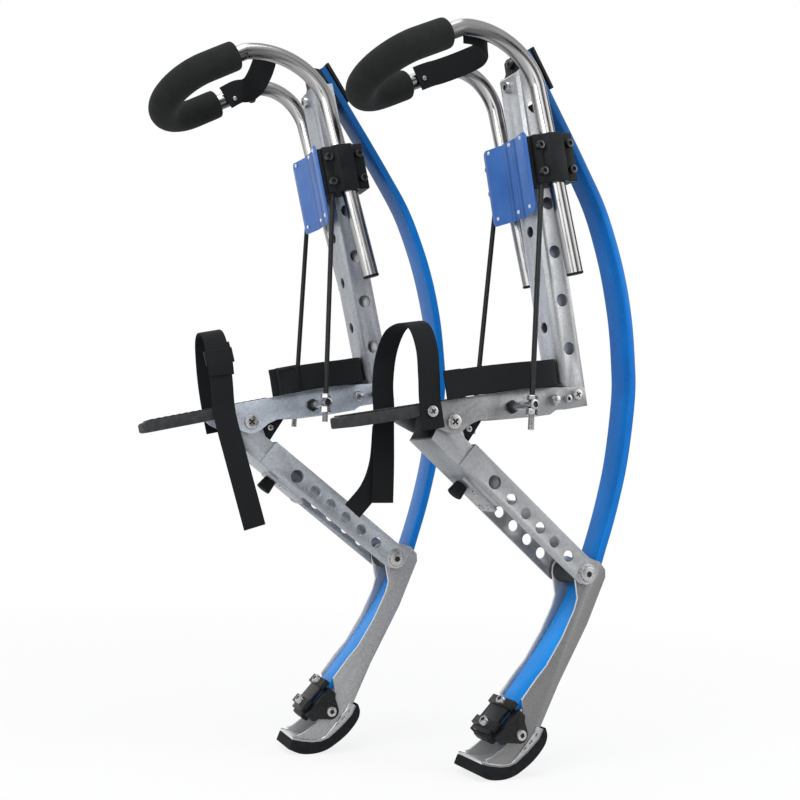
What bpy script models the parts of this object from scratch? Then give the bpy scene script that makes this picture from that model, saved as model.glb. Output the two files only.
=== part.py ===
# A pair of spring-blade jumping stilts, one per foot.
# Metres, +Z up, +X towards the toes, +Y to the wearer's left.
# Every stilt is drawn in its own frame with the toe pivot at the origin,
# the post upright and the foot board level, then placed by an empty.
import bpy
import bmesh
from math import sin, cos, tan, atan2, pi, radians, hypot
from mathutils import Vector

for ob in list(bpy.data.objects):
    bpy.data.objects.remove(ob, do_unlink=True)

# Stance of the pair
STEP = 0.195            # right toe pivot ahead of the left
GAP = 0.204             # distance between the two stilt mid planes
LEAN_LEFT = 11.9        # forward lean, degrees
LEAN_RIGHT = 14.4
YAW_RIGHT = -3.9
BOARD_CENTRE_X = -0.020
BOARD_CENTRE_Z = 0.027

# Clearances
GAP_FIT = 0.0003

# Foot frame
PLATE_T = 0.004
FRONT_IN = 0.0390       # inner face of the side plates at the toe pivot
HEEL_IN = 0.0245        # inner face of the side plates at the heel
BEND_FRONT = -0.056
BEND_REAR = -0.128
PLATE_TOP = 0.0275
BOARD_TOP = 0.0270
BOARD_TIP = 0.139

# Post
POST_FRONT = -0.181
POST_REAR = -0.215
POST_HALF = HEEL_IN - GAP_FIT
POST_WALL = 0.003
POST_BOTTOM = -0.008
POST_TOP = 0.450
POST_HOLE_PITCH = 0.0655
POST_HOLE_FIRST = 0.0715
POST_HOLE_R = 0.0088

# Knee bar
TUBE_R = 0.011
TUBE_Y = 0.055
TUBE_LOW_X = -0.2046
TUBE_LOW_Z = 0.168
RAKE = radians(3.5)
BEND_R = 0.079
LOOP_DROP = radians(17.0)
LOOP_STEPS = 10
BELT_W = 0.0330
STRAP_W = 0.0300
STRAP_T = 0.0022
HEEL_BAND_Z = 0.0465
HEEL_BAND_W = 0.0350
BELT_T = 0.0020
LOOP_TWIST = 0.13
FOAM_R = 0.0200
FOAM_START_X = -0.0646
LOOP_STRAIGHT_X = -0.022
LOOP_BACK = {"left": 0.0, "right": 0.0085}     # how far each loop sits further back

# Clamp
CLAMP_LOW = 0.288
CLAMP_HIGH = 0.352
CLAMP_FRONT = -0.166
CLAMP_REAR = -0.225

# Calf plate
CALF_LOW = 0.2535
CALF_HIGH = 0.359
CALF_HALF = 0.0545
CALF_T = 0.0025
CALF_EDGE_X = -0.1590
CALF_DEEP = 0.0080
CALF_FLUTE = 0.0012     # two shallow ridges pressed forward in the trough

# Linkage, in the stilt frame
TOE = (0.0, 0.0)
ANKLE = (-0.1673, -0.2266)
HOOF_PIN = (-0.0335, -0.4061)
STRUT_DIR = (0.6365, 0.7713)
STRUT_NORMAL = (0.7713, -0.6365)
CHANNEL_HALF = 0.0355
CHANNEL_WALL = 0.003
CHANNEL_TOP = 0.2360
CHANNEL_BACK = -0.0185
CHANNEL_FRONT = 0.0165
SLEEVE_HALF = CHANNEL_HALF - CHANNEL_WALL - GAP_FIT
SLEEVE_WALL = 0.003
SLEEVE_LOW = 0.158
SLEEVE_WEB = 0.0175
STRUT_HOLE_FIRST = 0.0373
STRUT_HOLE_PITCH = 0.0285
STRUT_HOLES = 5
SLOT_HALF = 0.0085
SLOT_SIDE = 0.0210
WEB_LOW = 0.0270
PIN_R = 0.005
BORE_R = 0.0053

# Leaf spring
SPRING_T = 0.0105

# Hoof
ARM_OUT = 0.0288
ARM_T = 0.0035
SOLE_HALF = 0.0310
RUBBER_HALF = 0.0325

# Yoke ribs, along the blade from the grip
RIBS = (0.0190, 0.0540)
RIB_HALF = 0.0270
RIB_BOLT_Y = 0.0030


def material(name, colour, metal, rough):
    m = bpy.data.materials.new(name)
    m.use_nodes = True
    b = m.node_tree.nodes["Principled BSDF"]
    b.inputs["Base Color"].default_value = (*colour, 1.0)
    b.inputs["Metallic"].default_value = metal
    b.inputs["Roughness"].default_value = rough
    return m


ALU = material("cast_aluminium", (0.42, 0.44, 0.45), 0.8, 0.45)
ARM_GREY = material("grey_plate", (0.26, 0.26, 0.26), 0.7, 0.45)
CHROME = material("chromed_steel", (0.75, 0.75, 0.76), 1.0, 0.12)
ZINC = material("zinc_steel", (0.60, 0.60, 0.62), 1.0, 0.30)
BLUE = material("blue_glass_fibre", (0.012, 0.125, 0.45), 0.0, 0.25)
BLUE_PLATE = material("blue_paint", (0.045, 0.13, 0.45), 0.0, 0.35)
BLACK = material("black_polymer", (0.012, 0.012, 0.013), 0.0, 0.5)
BLACK_STEEL = material("black_steel", (0.012, 0.012, 0.012), 0.5, 0.4)
RUBBER = material("black_rubber", (0.018, 0.018, 0.018), 0.0, 0.75)
FOAM = material("black_foam", (0.016, 0.017, 0.017), 0.0, 0.9)
WEBBING = material("black_webbing", (0.012, 0.013, 0.013), 0.0, 0.8)


def empty(name, parent, at):
    e = bpy.data.objects.new(name, None)
    e.empty_display_size = 0.03
    bpy.context.scene.collection.objects.link(e)
    e.parent = parent
    e.location = at
    return e


class Seat:
    """An empty on a joint axis plus its place in the stilt frame."""

    def __init__(self, obj, at):
        self.obj = obj
        self.at = Vector(at)


def finish(bm, name, mat, seat):
    bmesh.ops.recalc_face_normals(bm, faces=bm.faces)
    if bm.calc_volume(signed=True) < 0:
        bmesh.ops.reverse_faces(bm, faces=bm.faces)
    bmesh.ops.translate(bm, verts=bm.verts, vec=-seat.at)
    me = bpy.data.meshes.new(name)
    bm.to_mesh(me)
    bm.free()
    ob = bpy.data.objects.new(name, me)
    bpy.context.scene.collection.objects.link(ob)
    ob.parent = seat.obj
    if mat:
        me.materials.append(mat)
    return ob


def helper(ob, bm, seat, how):
    n = sum(1 for m in ob.modifiers)
    h = finish(bm, "%s_%s%d" % (ob.name, how.lower(), n), None, seat)
    h.hide_render = True
    h.display_type = "WIRE"
    m = ob.modifiers.new(how.lower() + str(n), "BOOLEAN")
    m.operation = how
    m.solver = "EXACT"
    m.object = h
    return h


def cut(ob, bm, seat):
    return helper(ob, bm, seat, "DIFFERENCE")


def fuse(ob, bm, seat):
    return helper(ob, bm, seat, "UNION")


def add_prism(bm, pts, lo, hi, axis="y"):
    """Closed outline pushed from lo to hi along y or z."""
    def at(p, h):
        return (p[0], h, p[1]) if axis == "y" else (p[0], p[1], h)
    a = [bm.verts.new(at(p, lo)) for p in pts]
    b = [bm.verts.new(at(p, hi)) for p in pts]
    n = len(pts)
    bm.faces.new(a)
    bm.faces.new(list(reversed(b)))
    for i in range(n):
        j = (i + 1) % n
        bm.faces.new((a[i], b[i], b[j], a[j]))


def prism(pts, lo, hi, axis="y"):
    bm = bmesh.new()
    add_prism(bm, pts, lo, hi, axis)
    return bm


def add_rod(bm, p, q, r, n=12, r2=None):
    """Round bar from p to q."""
    p, q = Vector(p), Vector(q)
    w = (q - p).normalized()
    u = w.orthogonal().normalized()
    v = w.cross(u)
    r2 = r if r2 is None else r2
    a, b = [], []
    for i in range(n):
        t = 2 * pi * i / n
        d = u * cos(t) + v * sin(t)
        a.append(bm.verts.new(p + d * r))
        b.append(bm.verts.new(q + d * r2))
    bm.faces.new(list(reversed(a)))
    bm.faces.new(b)
    for i in range(n):
        j = (i + 1) % n
        bm.faces.new((a[i], a[j], b[j], b[i]))


def rod(p, q, r, n=12, r2=None):
    bm = bmesh.new()
    add_rod(bm, p, q, r, n, r2)
    return bm


def cross_rod(x, z, r, half, n=12):
    return rod((x, -half, z), (x, half, z), r, n)


def box(x0, x1, y0, y1, z0, z1):
    return prism([(x0, z0), (x1, z0), (x1, z1), (x0, z1)], y0, y1)


def add_loft(bm, rings):
    """Closed rings of equal length joined in order, with end caps."""
    vs = [[bm.verts.new(p) for p in ring] for ring in rings]
    n = len(vs[0])
    for a, b in zip(vs, vs[1:]):
        for i in range(n):
            j = (i + 1) % n
            bm.faces.new((a[i], a[j], b[j], b[i]))
    bm.faces.new(list(reversed(vs[0])))
    bm.faces.new(vs[-1])


def loft(rings):
    bm = bmesh.new()
    add_loft(bm, rings)
    return bm


def frames(path):
    """Tangent at each point of an open path."""
    out = []
    for i in range(len(path)):
        a = path[max(0, i - 1)]
        b = path[min(len(path) - 1, i + 1)]
        out.append((Vector(b) - Vector(a)).normalized())
    return out


def pipe_rings(path, r, n, up=(0.0, 0.0, 1.0)):
    """Circles along a path, carried along without twist."""
    tan_ = frames(path)
    u = Vector(up)
    rings = []
    for p, t in zip(path, tan_):
        u = (u - t * u.dot(t)).normalized()
        v = t.cross(u)
        rings.append([Vector(p) + (u * cos(2 * pi * k / n) + v * sin(2 * pi * k / n)) * r
                      for k in range(n)])
    return rings


def ribbon(path, wides, width, thick):
    """Flat band along a path; wides gives the width direction at each point."""
    rings = []
    for p, t, w in zip(path, frames(path), wides):
        w = Vector(w)
        w = (w - t * w.dot(t)).normalized()
        n = t.cross(w)
        p = Vector(p)
        a, b = w * (width / 2), n * (thick / 2)
        rings.append([p + a + b, p - a + b, p - a - b, p + a - b])
    return loft(rings)


def smooth(pts, steps):
    """Catmull-Rom points through a list of vectors."""
    pts = [Vector(p) for p in pts]
    ext = [pts[0] * 2 - pts[1]] + pts + [pts[-1] * 2 - pts[-2]]
    out = []
    for i in range(1, len(ext) - 2):
        p0, p1, p2, p3 = ext[i - 1:i + 3]
        for k in range(steps):
            t = k / steps
            out.append(0.5 * (2 * p1 + (p2 - p0) * t + (2 * p0 - 5 * p1 + 4 * p2 - p3) * t * t
                              + (3 * p1 - p0 - 3 * p2 + p3) * t ** 3))
    out.append(pts[-1])
    return out


def uv(u, v):
    """Strut frame (along the strut from the ankle, out of its front) to x, z."""
    return (ANKLE[0] + u * STRUT_DIR[0] + v * STRUT_NORMAL[0],
            ANKLE[1] + u * STRUT_DIR[1] + v * STRUT_NORMAL[1])


SPRING_END_DIR = (0.819, -0.5736)
SPRING_END_NORMAL = (0.5736, 0.819)
SPRING_GRIP = (-0.0555, -0.3685)


def sn(s, n):
    """Spring end frame (along the blade from the grip start, out of its front)."""
    return (SPRING_GRIP[0] + s * SPRING_END_DIR[0] + n * SPRING_END_NORMAL[0],
            SPRING_GRIP[1] + s * SPRING_END_DIR[1] + n * SPRING_END_NORMAL[1])


def inner_face(x):
    """Inner face of a side plate: straight, slanted in, straight."""
    if x >= BEND_FRONT:
        return FRONT_IN
    if x <= BEND_REAR:
        return HEEL_IN
    t = (BEND_FRONT - x) / (BEND_FRONT - BEND_REAR)
    return FRONT_IN + (HEEL_IN - FRONT_IN) * t


def arc(cx, cz, r, a0, a1, n):
    return [(cx + r * cos(radians(a0 + (a1 - a0) * i / n)),
             cz + r * sin(radians(a0 + (a1 - a0) * i / n))) for i in range(n + 1)]


# Centre line of the blade, top to bottom
SPRING_POINTS = [
    (-0.2080, 0.4760), (-0.2190, 0.4490), (-0.2305, 0.4200), (-0.2415, 0.3920),
    (-0.2550, 0.3580), (-0.2722, 0.3130), (-0.2900, 0.2620), (-0.2998, 0.2130),
    (-0.3056, 0.1600), (-0.3062, 0.1010), (-0.3012, 0.0450), (-0.2925, -0.0060),
    (-0.2672, -0.0840), (-0.2412, -0.1425), (-0.2105, -0.1990), (-0.1700, -0.2625),
    (-0.1160, -0.3190), (-0.0555, -0.3685)]


def spring_half(z):
    """Half width of the blade by height: widest in the middle."""
    stops = [(-0.42, 0.0200), (-0.22, 0.0205), (-0.02, 0.0220), (0.14, 0.0220),
             (0.30, 0.0190), (0.48, 0.0175)]
    for (z0, a), (z1, b) in zip(stops, stops[1:]):
        if z <= z1:
            t = max(0.0, (z - z0) / (z1 - z0))
            return a + (b - a) * t
    return stops[-1][1]


def spring_path():
    path = smooth([(x, 0.0, z) for x, z in SPRING_POINTS], 2)
    for s in (0.022, 0.044, 0.0610):
        x, z = sn(s, 0.0)
        path.append(Vector((x, 0.0, z)))
    return path


def knee_path(n_loop, back):
    """Centre line of the knee bar from its near lower end to the far one."""
    def rake_x(z):
        return TUBE_LOW_X + (z - TUBE_LOW_Z) * tan(RAKE)
    zc = 0.4045
    xc = rake_x(zc) + BEND_R / cos(RAKE) - 0.0003
    side = [(rake_x(z), z) for z in (TUBE_LOW_Z, 0.270, 0.345, 0.385)]
    side += arc(xc, zc, BEND_R, 180.0 - 3.5, 90.0 - 17.0, 7)[1:]
    x0, z0 = side[-1]
    first = len(side) - 1
    slope = tan(LOOP_DROP)
    for x in (FOAM_START_X - back, LOOP_STRAIGHT_X - back):
        side.append((x, z0 - (x - x0) * slope))
    path = []
    for i, (x, z) in enumerate(side):
        t = min(1.0, max(0.0, (i - 5) / (first - 5)))
        path.append(Vector((x, TUBE_Y, z + LOOP_TWIST * 2.0 * TUBE_Y * t * t)))
    xl, zl = side[-1]
    for i in range(1, n_loop):
        a = pi / 2 - pi * i / n_loop
        x = xl + TUBE_Y * cos(a)
        y = TUBE_Y * sin(a)
        path.append(Vector((x, y, zl - (x - xl) * slope + LOOP_TWIST * 2.0 * y)))
    for i in range(len(side) - 1, -1, -1):
        x, z = side[i]
        t = min(1.0, max(0.0, (i - 5) / (first - 5)))
        path.append(Vector((x, -TUBE_Y, z - LOOP_TWIST * 2.0 * TUBE_Y * t * t)))
    return path, first


def side_plate(name, s, seat):
    """Bent side plate of the foot frame with its two heel screws."""
    rows = [(0.0420, 0.0245, 0.0110), (0.0385, 0.0272, 0.0065), (0.0300, PLATE_TOP, 0.0005),
            (0.0200, PLATE_TOP, -0.0065), (0.0110, PLATE_TOP, -0.0120), (0.0030, PLATE_TOP, -0.0152),
            (-0.0050, PLATE_TOP, -0.0152), (-0.0130, PLATE_TOP, -0.0122), (-0.0230, PLATE_TOP, -0.0068),
            (-0.0360, PLATE_TOP, -0.0035), (BEND_FRONT, PLATE_TOP, -0.0042), (-0.0920, PLATE_TOP, -0.0085),
            (BEND_REAR, 0.0265, -0.0110), (-0.1520, 0.0245, -0.0115), (-0.1640, 0.0232, -0.0060),
            (-0.1760, 0.0215, -0.0080), (-0.2080, 0.0190, -0.0080), (-0.2120, 0.0160, -0.0050)]
    rings = []
    for x, zt, zb in rows:
        y = inner_face(x)
        yy = y + PLATE_T
        rings.append([(x, s * y, zb), (x, s * y, zt), (x, s * yy, zt), (x, s * yy, zb)])
    ob = finish(loft(rings), name, ALU, seat)
    cut(ob, cross_rod(*TOE, BORE_R, 0.08), seat)
    bm = bmesh.new()
    out = HEEL_IN + PLATE_T
    for x, z, r, h in ((-0.1975, 0.0090, 0.0062, 0.0030), (-0.1600, 0.0065, 0.0050, 0.0070)):
        add_rod(bm, (x, s * (out - 0.001), z), (x, s * (out + h), z), r, 12)
    fuse(ob, bm, seat)
    return ob


def foot_board(name, seat):
    """Toe board and heel board in one, level on top."""
    rows = [(BOARD_TIP, 0.014, 0.0165, 0.0050), (0.1378, 0.0225, 0.0142, 0.0022),
            (0.1345, 0.0292, 0.0131, 0.0006), (0.1310, 0.0340, 0.0127, 0.0),
            (0.1220, 0.0402, 0.0125, 0.0), (0.1060, 0.0430, 0.0125, 0.0), (0.0480, 0.0430, 0.0125, 0.0),
            (0.0426, 0.0430, 0.0150, 0.0), (0.0424, FRONT_IN - GAP_FIT, 0.0150, 0.0),
            (0.0380, FRONT_IN - GAP_FIT, 0.0170, 0.0), (BEND_FRONT, FRONT_IN - GAP_FIT, 0.0170, 0.0),
            (BEND_REAR, HEEL_IN - GAP_FIT, 0.0170, 0.0),
            (POST_FRONT + GAP_FIT, HEEL_IN - GAP_FIT, 0.0170, 0.0)]
    rings = []
    for x, hw, zb, dip in rows:
        zt = BOARD_TOP - dip
        rings.append([(x, hw, zt), (x, -hw, zt), (x, -hw, zb), (x, hw, zb)])
    return finish(loft(rings), name, RUBBER, seat)


def post(name, seat):
    """Perforated channel, open to the rear."""
    a, b, w, h = POST_FRONT, POST_REAR, POST_WALL, POST_HALF
    c = 0.004
    plan = [(b, h), (a - c, h), (a, h - c), (a, -h + c), (a - c, -h), (b, -h),
            (b, -h + w), (a - c - 0.001, -h + w), (a - w, -h + c + 0.0012), (a - w, h - c - 0.0012),
            (a - c - 0.001, h - w), (b, h - w)]
    ob = finish(prism(plan, POST_BOTTOM, POST_TOP, "z"), name, ALU, seat)
    bm = bmesh.new()
    xm = (a + b) / 2 - 0.0015
    for k in range(6):
        z = POST_HOLE_FIRST + k * POST_HOLE_PITCH
        if not CLAMP_LOW < z < CLAMP_HIGH:
            add_rod(bm, (xm, -0.06, z), (xm, 0.06, z), POST_HOLE_R, 12)
    for k in range(3):
        z = POST_HOLE_FIRST + (k + 0.5) * POST_HOLE_PITCH
        add_rod(bm, (a - w - 0.003, 0, z), (a + 0.01, 0, z), 0.0076, 12)
    add_rod(bm, (a - w - 0.003, 0, 0.4325), (a + 0.01, 0, 0.4325), 0.0045, 10)
    cut(ob, bm, seat)
    top = prism([(a + 0.01, POST_TOP + 0.01), (a - 0.016, POST_TOP + 0.01), (a + 0.01, POST_TOP - 0.014)],
                -0.05, 0.05)
    cut(ob, top, seat)
    return ob


def tube_cutter(s, extra):
    low, high = CLAMP_LOW - 0.03, CLAMP_HIGH + 0.03
    x0 = TUBE_LOW_X + (low - TUBE_LOW_Z) * tan(RAKE)
    x1 = TUBE_LOW_X + (high - TUBE_LOW_Z) * tan(RAKE)
    return (x0, s * TUBE_Y, low), (x1, s * TUBE_Y, high), TUBE_R + extra, 20


def clamp_saddle(name, seat):
    """Block round the post that carries both tubes and the calf plate."""
    f = CALF_EDGE_X - CALF_T - 0.0006
    deep = f - CALF_DEEP
    yo = TUBE_Y - 0.0003
    r, a, h = CLAMP_REAR, POST_FRONT + GAP_FIT, POST_HALF + GAP_FIT
    plan = [(deep, -0.0185), (deep, 0.0185), (f, 0.0465), (f, yo), (r, yo), (r, h), (a, h), (a, -h),
            (r, -h), (r, -yo), (f, -yo), (f, -0.0465)]
    ob = finish(prism(plan, CLAMP_LOW, CLAMP_HIGH, "z"), name, BLACK, seat)
    bm = bmesh.new()
    for s in (1, -1):
        add_rod(bm, *tube_cutter(s, 0.0004))
    cut(ob, bm, seat)
    return ob


def clamp_cap(name, s, seat):
    """Outer half of a tube clamp with its four socket screws."""
    y0, y1, y2 = TUBE_Y + 0.0003, 0.0635, 0.0715
    xm = TUBE_LOW_X + ((CLAMP_LOW + CLAMP_HIGH) / 2 - TUBE_LOW_Z) * tan(RAKE)
    plan = [(CLAMP_REAR, y0), (CLAMP_FRONT, y0), (CLAMP_FRONT, y1), (xm + 0.0165, y1),
            (xm + 0.0110, y2), (xm - 0.0110, y2), (xm - 0.0165, y1), (CLAMP_REAR, y1)]
    plan = [(x, s * y) for x, y in plan]
    ob = finish(prism(plan, CLAMP_LOW, CLAMP_HIGH, "z"), name, BLACK, seat)
    cut(ob, rod(*tube_cutter(s, 0.0004)), seat)
    bm = bmesh.new()
    for x in (CLAMP_FRONT - 0.0062, CLAMP_REAR + 0.0075):
        for z in (CLAMP_LOW + 0.0150, CLAMP_HIGH - 0.0150):
            add_rod(bm, (x, s * (y1 - 0.001), z), (x, s * (y1 + 0.0035), z), 0.0040, 8)
    fuse(ob, bm, seat)
    return ob


def calf_plate(name, seat):
    """Shallow trough of sheet behind the calf."""
    def depth(y):
        y = abs(y)
        if y >= 0.0465:
            return 0.0
        if y <= 0.0185:
            return CALF_DEEP
        return CALF_DEEP * (0.0465 - y) / (0.0465 - 0.0185)
    half = [(CALF_HALF, 0.0060), (CALF_HALF - 0.0018, 0.0018), (CALF_HALF - 0.0060, 0.0),
            (0.0465, 0.0), (0.0185, 0.0), (0.0160, 0.0), (0.0105, 0.0), (0.0050, 0.0)]
    rows = half + [(-y, c) for y, c in reversed(half)]
    flute = {0.0105: CALF_FLUTE}
    rings = []
    for y, c in rows:
        x = CALF_EDGE_X - depth(y) + flute.get(abs(y), 0.0)
        rings.append([(x, y, CALF_LOW + c), (x, y, CALF_HIGH - c),
                      (x - CALF_T, y, CALF_HIGH - c), (x - CALF_T, y, CALF_LOW + c)])
    return finish(loft(rings), name, BLUE_PLATE, seat)


ROD_TAIL = {"left": 0.0310, "right": 0.0250}
BARREL_X = -0.0900
BARREL_Z = 0.0065
BARREL_LEN = 0.0440
SLANT = atan2(FRONT_IN - HEEL_IN, BEND_FRONT - BEND_REAR)


def barrel_line(s):
    y = inner_face(BARREL_X) + PLATE_T / cos(SLANT) + GAP_FIT
    p = Vector((BARREL_X, s * y, BARREL_Z))
    d = Vector((-sin(SLANT), s * cos(SLANT), 0.0))
    return p, d


def brace_line(s):
    """Brace rod from under the clamp to the outer end of its barrel."""
    p, d = barrel_line(s)
    low = p + d * (BARREL_LEN - 0.0055)
    high = Vector((CLAMP_FRONT - 0.0042, s * 0.0595, CLAMP_LOW - GAP_FIT - 0.0009))
    w = (high - low).normalized()
    return low, high, w


def barrel(name, s, seat):
    """Cross dowel that the brace rod is drawn through."""
    p, d = barrel_line(s)
    low, high, w = brace_line(s)
    ob = finish(rod(p, p + d * BARREL_LEN, 0.0052, 14), name, CHROME, seat)
    cut(ob, rod(low - w * 0.02, low + w * 0.02, 0.0038, 12), seat)
    return ob


def brace_rod(name, s, seat, tail):
    """Steel rod with a nut above and below the barrel."""
    low, high, w = brace_line(s)
    ob = finish(rod(low - w * tail, high, 0.0034, 10), name, BLACK_STEEL, seat)
    bm = bmesh.new()
    add_rod(bm, low - w * 0.0130, low - w * 0.0062, 0.0058, 6)
    add_rod(bm, low + w * 0.0062, low + w * 0.0110, 0.0052, 10)
    fuse(ob, bm, seat)
    return ob


def leaf_spring(name, seat):
    """Glass fibre blade: one closed strip with eased edges."""
    path = spring_path()
    rings = []
    e = 0.0016
    for p, t in zip(path, frames(path)):
        n = Vector((t.z, 0.0, -t.x))
        if n.x < 0:
            n = -n
        h = spring_half(p.z)
        k = SPRING_T / 2
        sec = [(h - e, k), (-h + e, k), (-h, k - e), (-h, -k + e), (-h + e, -k), (h - e, -k),
               (h, -k + e), (h, k - e)]
        rings.append([p + Vector((0, y, 0)) + n * d for y, d in sec])
    return finish(loft(rings), name, BLUE, seat)


def top_line(z):
    """Blade centre and front normal at a height near its top."""
    p0, p1 = SPRING_POINTS[0], SPRING_POINTS[2]
    t = (z - p0[1]) / (p1[1] - p0[1])
    d = Vector((p1[0] - p0[0], 0, p1[1] - p0[1])).normalized()
    return Vector((p0[0] + (p1[0] - p0[0]) * t, 0, z)), Vector((-d.z, 0, d.x))


def top_holder(name, seat):
    """Block in the top of the post, in front of the blade, with its bolt."""
    off = SPRING_T / 2 + 0.0006
    a = top_line(0.4760)
    b = top_line(0.4240)
    pa, pb = a[0] + a[1] * off, b[0] + b[1] * off
    xi = POST_FRONT - POST_WALL - GAP_FIT
    pts = [(pb.x, pb.z), (xi - 0.0045, pb.z), (xi, pb.z + 0.004), (xi, 0.4440), (-0.1905, 0.4560),
           (-0.1905, 0.4700), (-0.1950, 0.4760), (pa.x, pa.z)]
    h = POST_HALF - POST_WALL - 0.0030
    ob = finish(prism(pts, -h, h), name, BLACK, seat)
    bm = bmesh.new()
    add_rod(bm, (xi - 0.006, 0, 0.4325), (POST_FRONT + 0.0009, 0, 0.4325), 0.0040, 10)
    fuse(ob, bm, seat)
    bm = bmesh.new()
    add_rod(bm, (POST_FRONT + GAP_FIT, 0, 0.4325), (POST_FRONT + 0.0052, 0, 0.4325), 0.0072, 12)
    fuse(ob, bm, seat)
    bm = bmesh.new()
    add_rod(bm, (-0.1935, 0, 0.4640), (-0.1870, 0, 0.4640), 0.0055, 12)
    fuse(ob, bm, seat)
    return ob


def top_cap(name, seat):
    """Strip that grips the blade from behind."""
    off = SPRING_T / 2 + 0.0006
    a, b = top_line(0.4780), top_line(0.4215)
    q = [a[0] - a[1] * off, b[0] - b[1] * off, b[0] - b[1] * (off + 0.0050), a[0] - a[1] * (off + 0.0050)]
    return finish(prism([(p.x, p.z) for p in q], -0.0200, 0.0200), name, BLACK, seat)


def knee_bar(name, seat, back):
    path, first = knee_path(LOOP_STEPS, back)
    outer = pipe_rings(path, TUBE_R, 12)
    ob = finish(loft(outer), name, CHROME, seat)
    bm = bmesh.new()
    for end, step in ((0, 1), (-1, -1)):
        p = path[end]
        q = path[end + 3 * step]
        w = (p - q).normalized()
        add_rod(bm, p - w * 0.21, p + w * 0.004, TUBE_R - 0.0016, 12)
    cut(ob, bm, seat)
    return ob


def knee_foam(name, seat, back):
    """Foam sleeve round the front of the loop, open at both ends."""
    path, first = knee_path(LOOP_STEPS, back)
    a = first + 1
    part = path[a:len(path) - a]
    part[-1] = part[-2].lerp(part[-1], 0.8)
    n = 12
    outer = pipe_rings(part, FOAM_R, n)
    inner = pipe_rings(part, TUBE_R + 0.0004, n)
    bm = bmesh.new()
    o = [[bm.verts.new(p) for p in ring] for ring in outer]
    i_ = [[bm.verts.new(p) for p in ring] for ring in inner]
    for rings, flip in ((o, False), (i_, True)):
        for x, y in zip(rings, rings[1:]):
            for k in range(n):
                j = (k + 1) % n
                f = (x[k], x[j], y[j], y[k])
                bm.faces.new(tuple(reversed(f)) if flip else f)
    for ring_o, ring_i, flip in ((o[0], i_[0], True), (o[-1], i_[-1], False)):
        for k in range(n):
            j = (k + 1) % n
            f = (ring_o[k], ring_o[j], ring_i[j], ring_i[k])
            bm.faces.new(tuple(reversed(f)) if flip else f)
    return finish(bm, name, FOAM, seat)


def knee_strap(name, seat, back, slack):
    """Belt behind the knee, held on the inner faces of both tubes."""
    path, first = knee_path(LOOP_STEPS, back)
    near = [p for p in path[4:first + 2]]
    far = [p for p in path[-first - 2:-4]]

    def axis_z(line, x):
        line = sorted(line, key=lambda p: p.x)
        for p, q in zip(line, line[1:]):
            if p.x <= x <= q.x:
                return p.z + (q.z - p.z) * (x - p.x) / (q.x - p.x)
        return line[-1].z

    y = TUBE_Y - TUBE_R - GAP_FIT - BELT_T / 2
    x0 = FOAM_START_X - back - 0.0030
    pts = [(x0, -y, axis_z(far, x0)), (x0 - 0.0190, -y, axis_z(far, x0 - 0.0190))]
    wides = [(0.30, 0, 0.95), (0.30, 0, 0.95)]
    if slack:
        pts += [(-0.1080, 0.975 * -y, 0.4700), (-0.1160, -0.0300, 0.4725), (-0.1190, -0.0050, 0.4775),
                (-0.1200, 0.0200, 0.4840), (-0.1205, 0.0370, 0.4910), (-0.1200, y, axis_z(near, -0.1200))]
        wides += [(0.36, 0, 0.92), (0.66, 0, 0.75), (0.86, 0, 0.50), (0.94, 0, 0.30), (0.98, 0, 0.05),
                  (0.98, 0, -0.15)]
    else:
        pts += [(-0.1040, 0.955 * -y, 0.4690), (-0.1270, -0.0235, 0.4735), (-0.1420, 0.0020, 0.4770),
                (-0.1395, 0.0265, 0.4815), (-0.1270, 0.0400, 0.4860), (-0.1120, y, axis_z(near, -0.1120)),
                (-0.0970, y, axis_z(near, -0.0970))]
        wides += [(0.25, 0, 0.97), (0.15, 0, 0.99), (0, 0, 1), (-0.1, 0, 1), (-0.2, 0, 0.98),
                  (-0.2, 0, 0.98),
                  (-0.08, 0, 1)]
    path = smooth(pts, 3)
    turn = smooth(wides, 3)
    return finish(ribbon(path, turn, BELT_W, BELT_T), name, WEBBING, seat)


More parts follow.
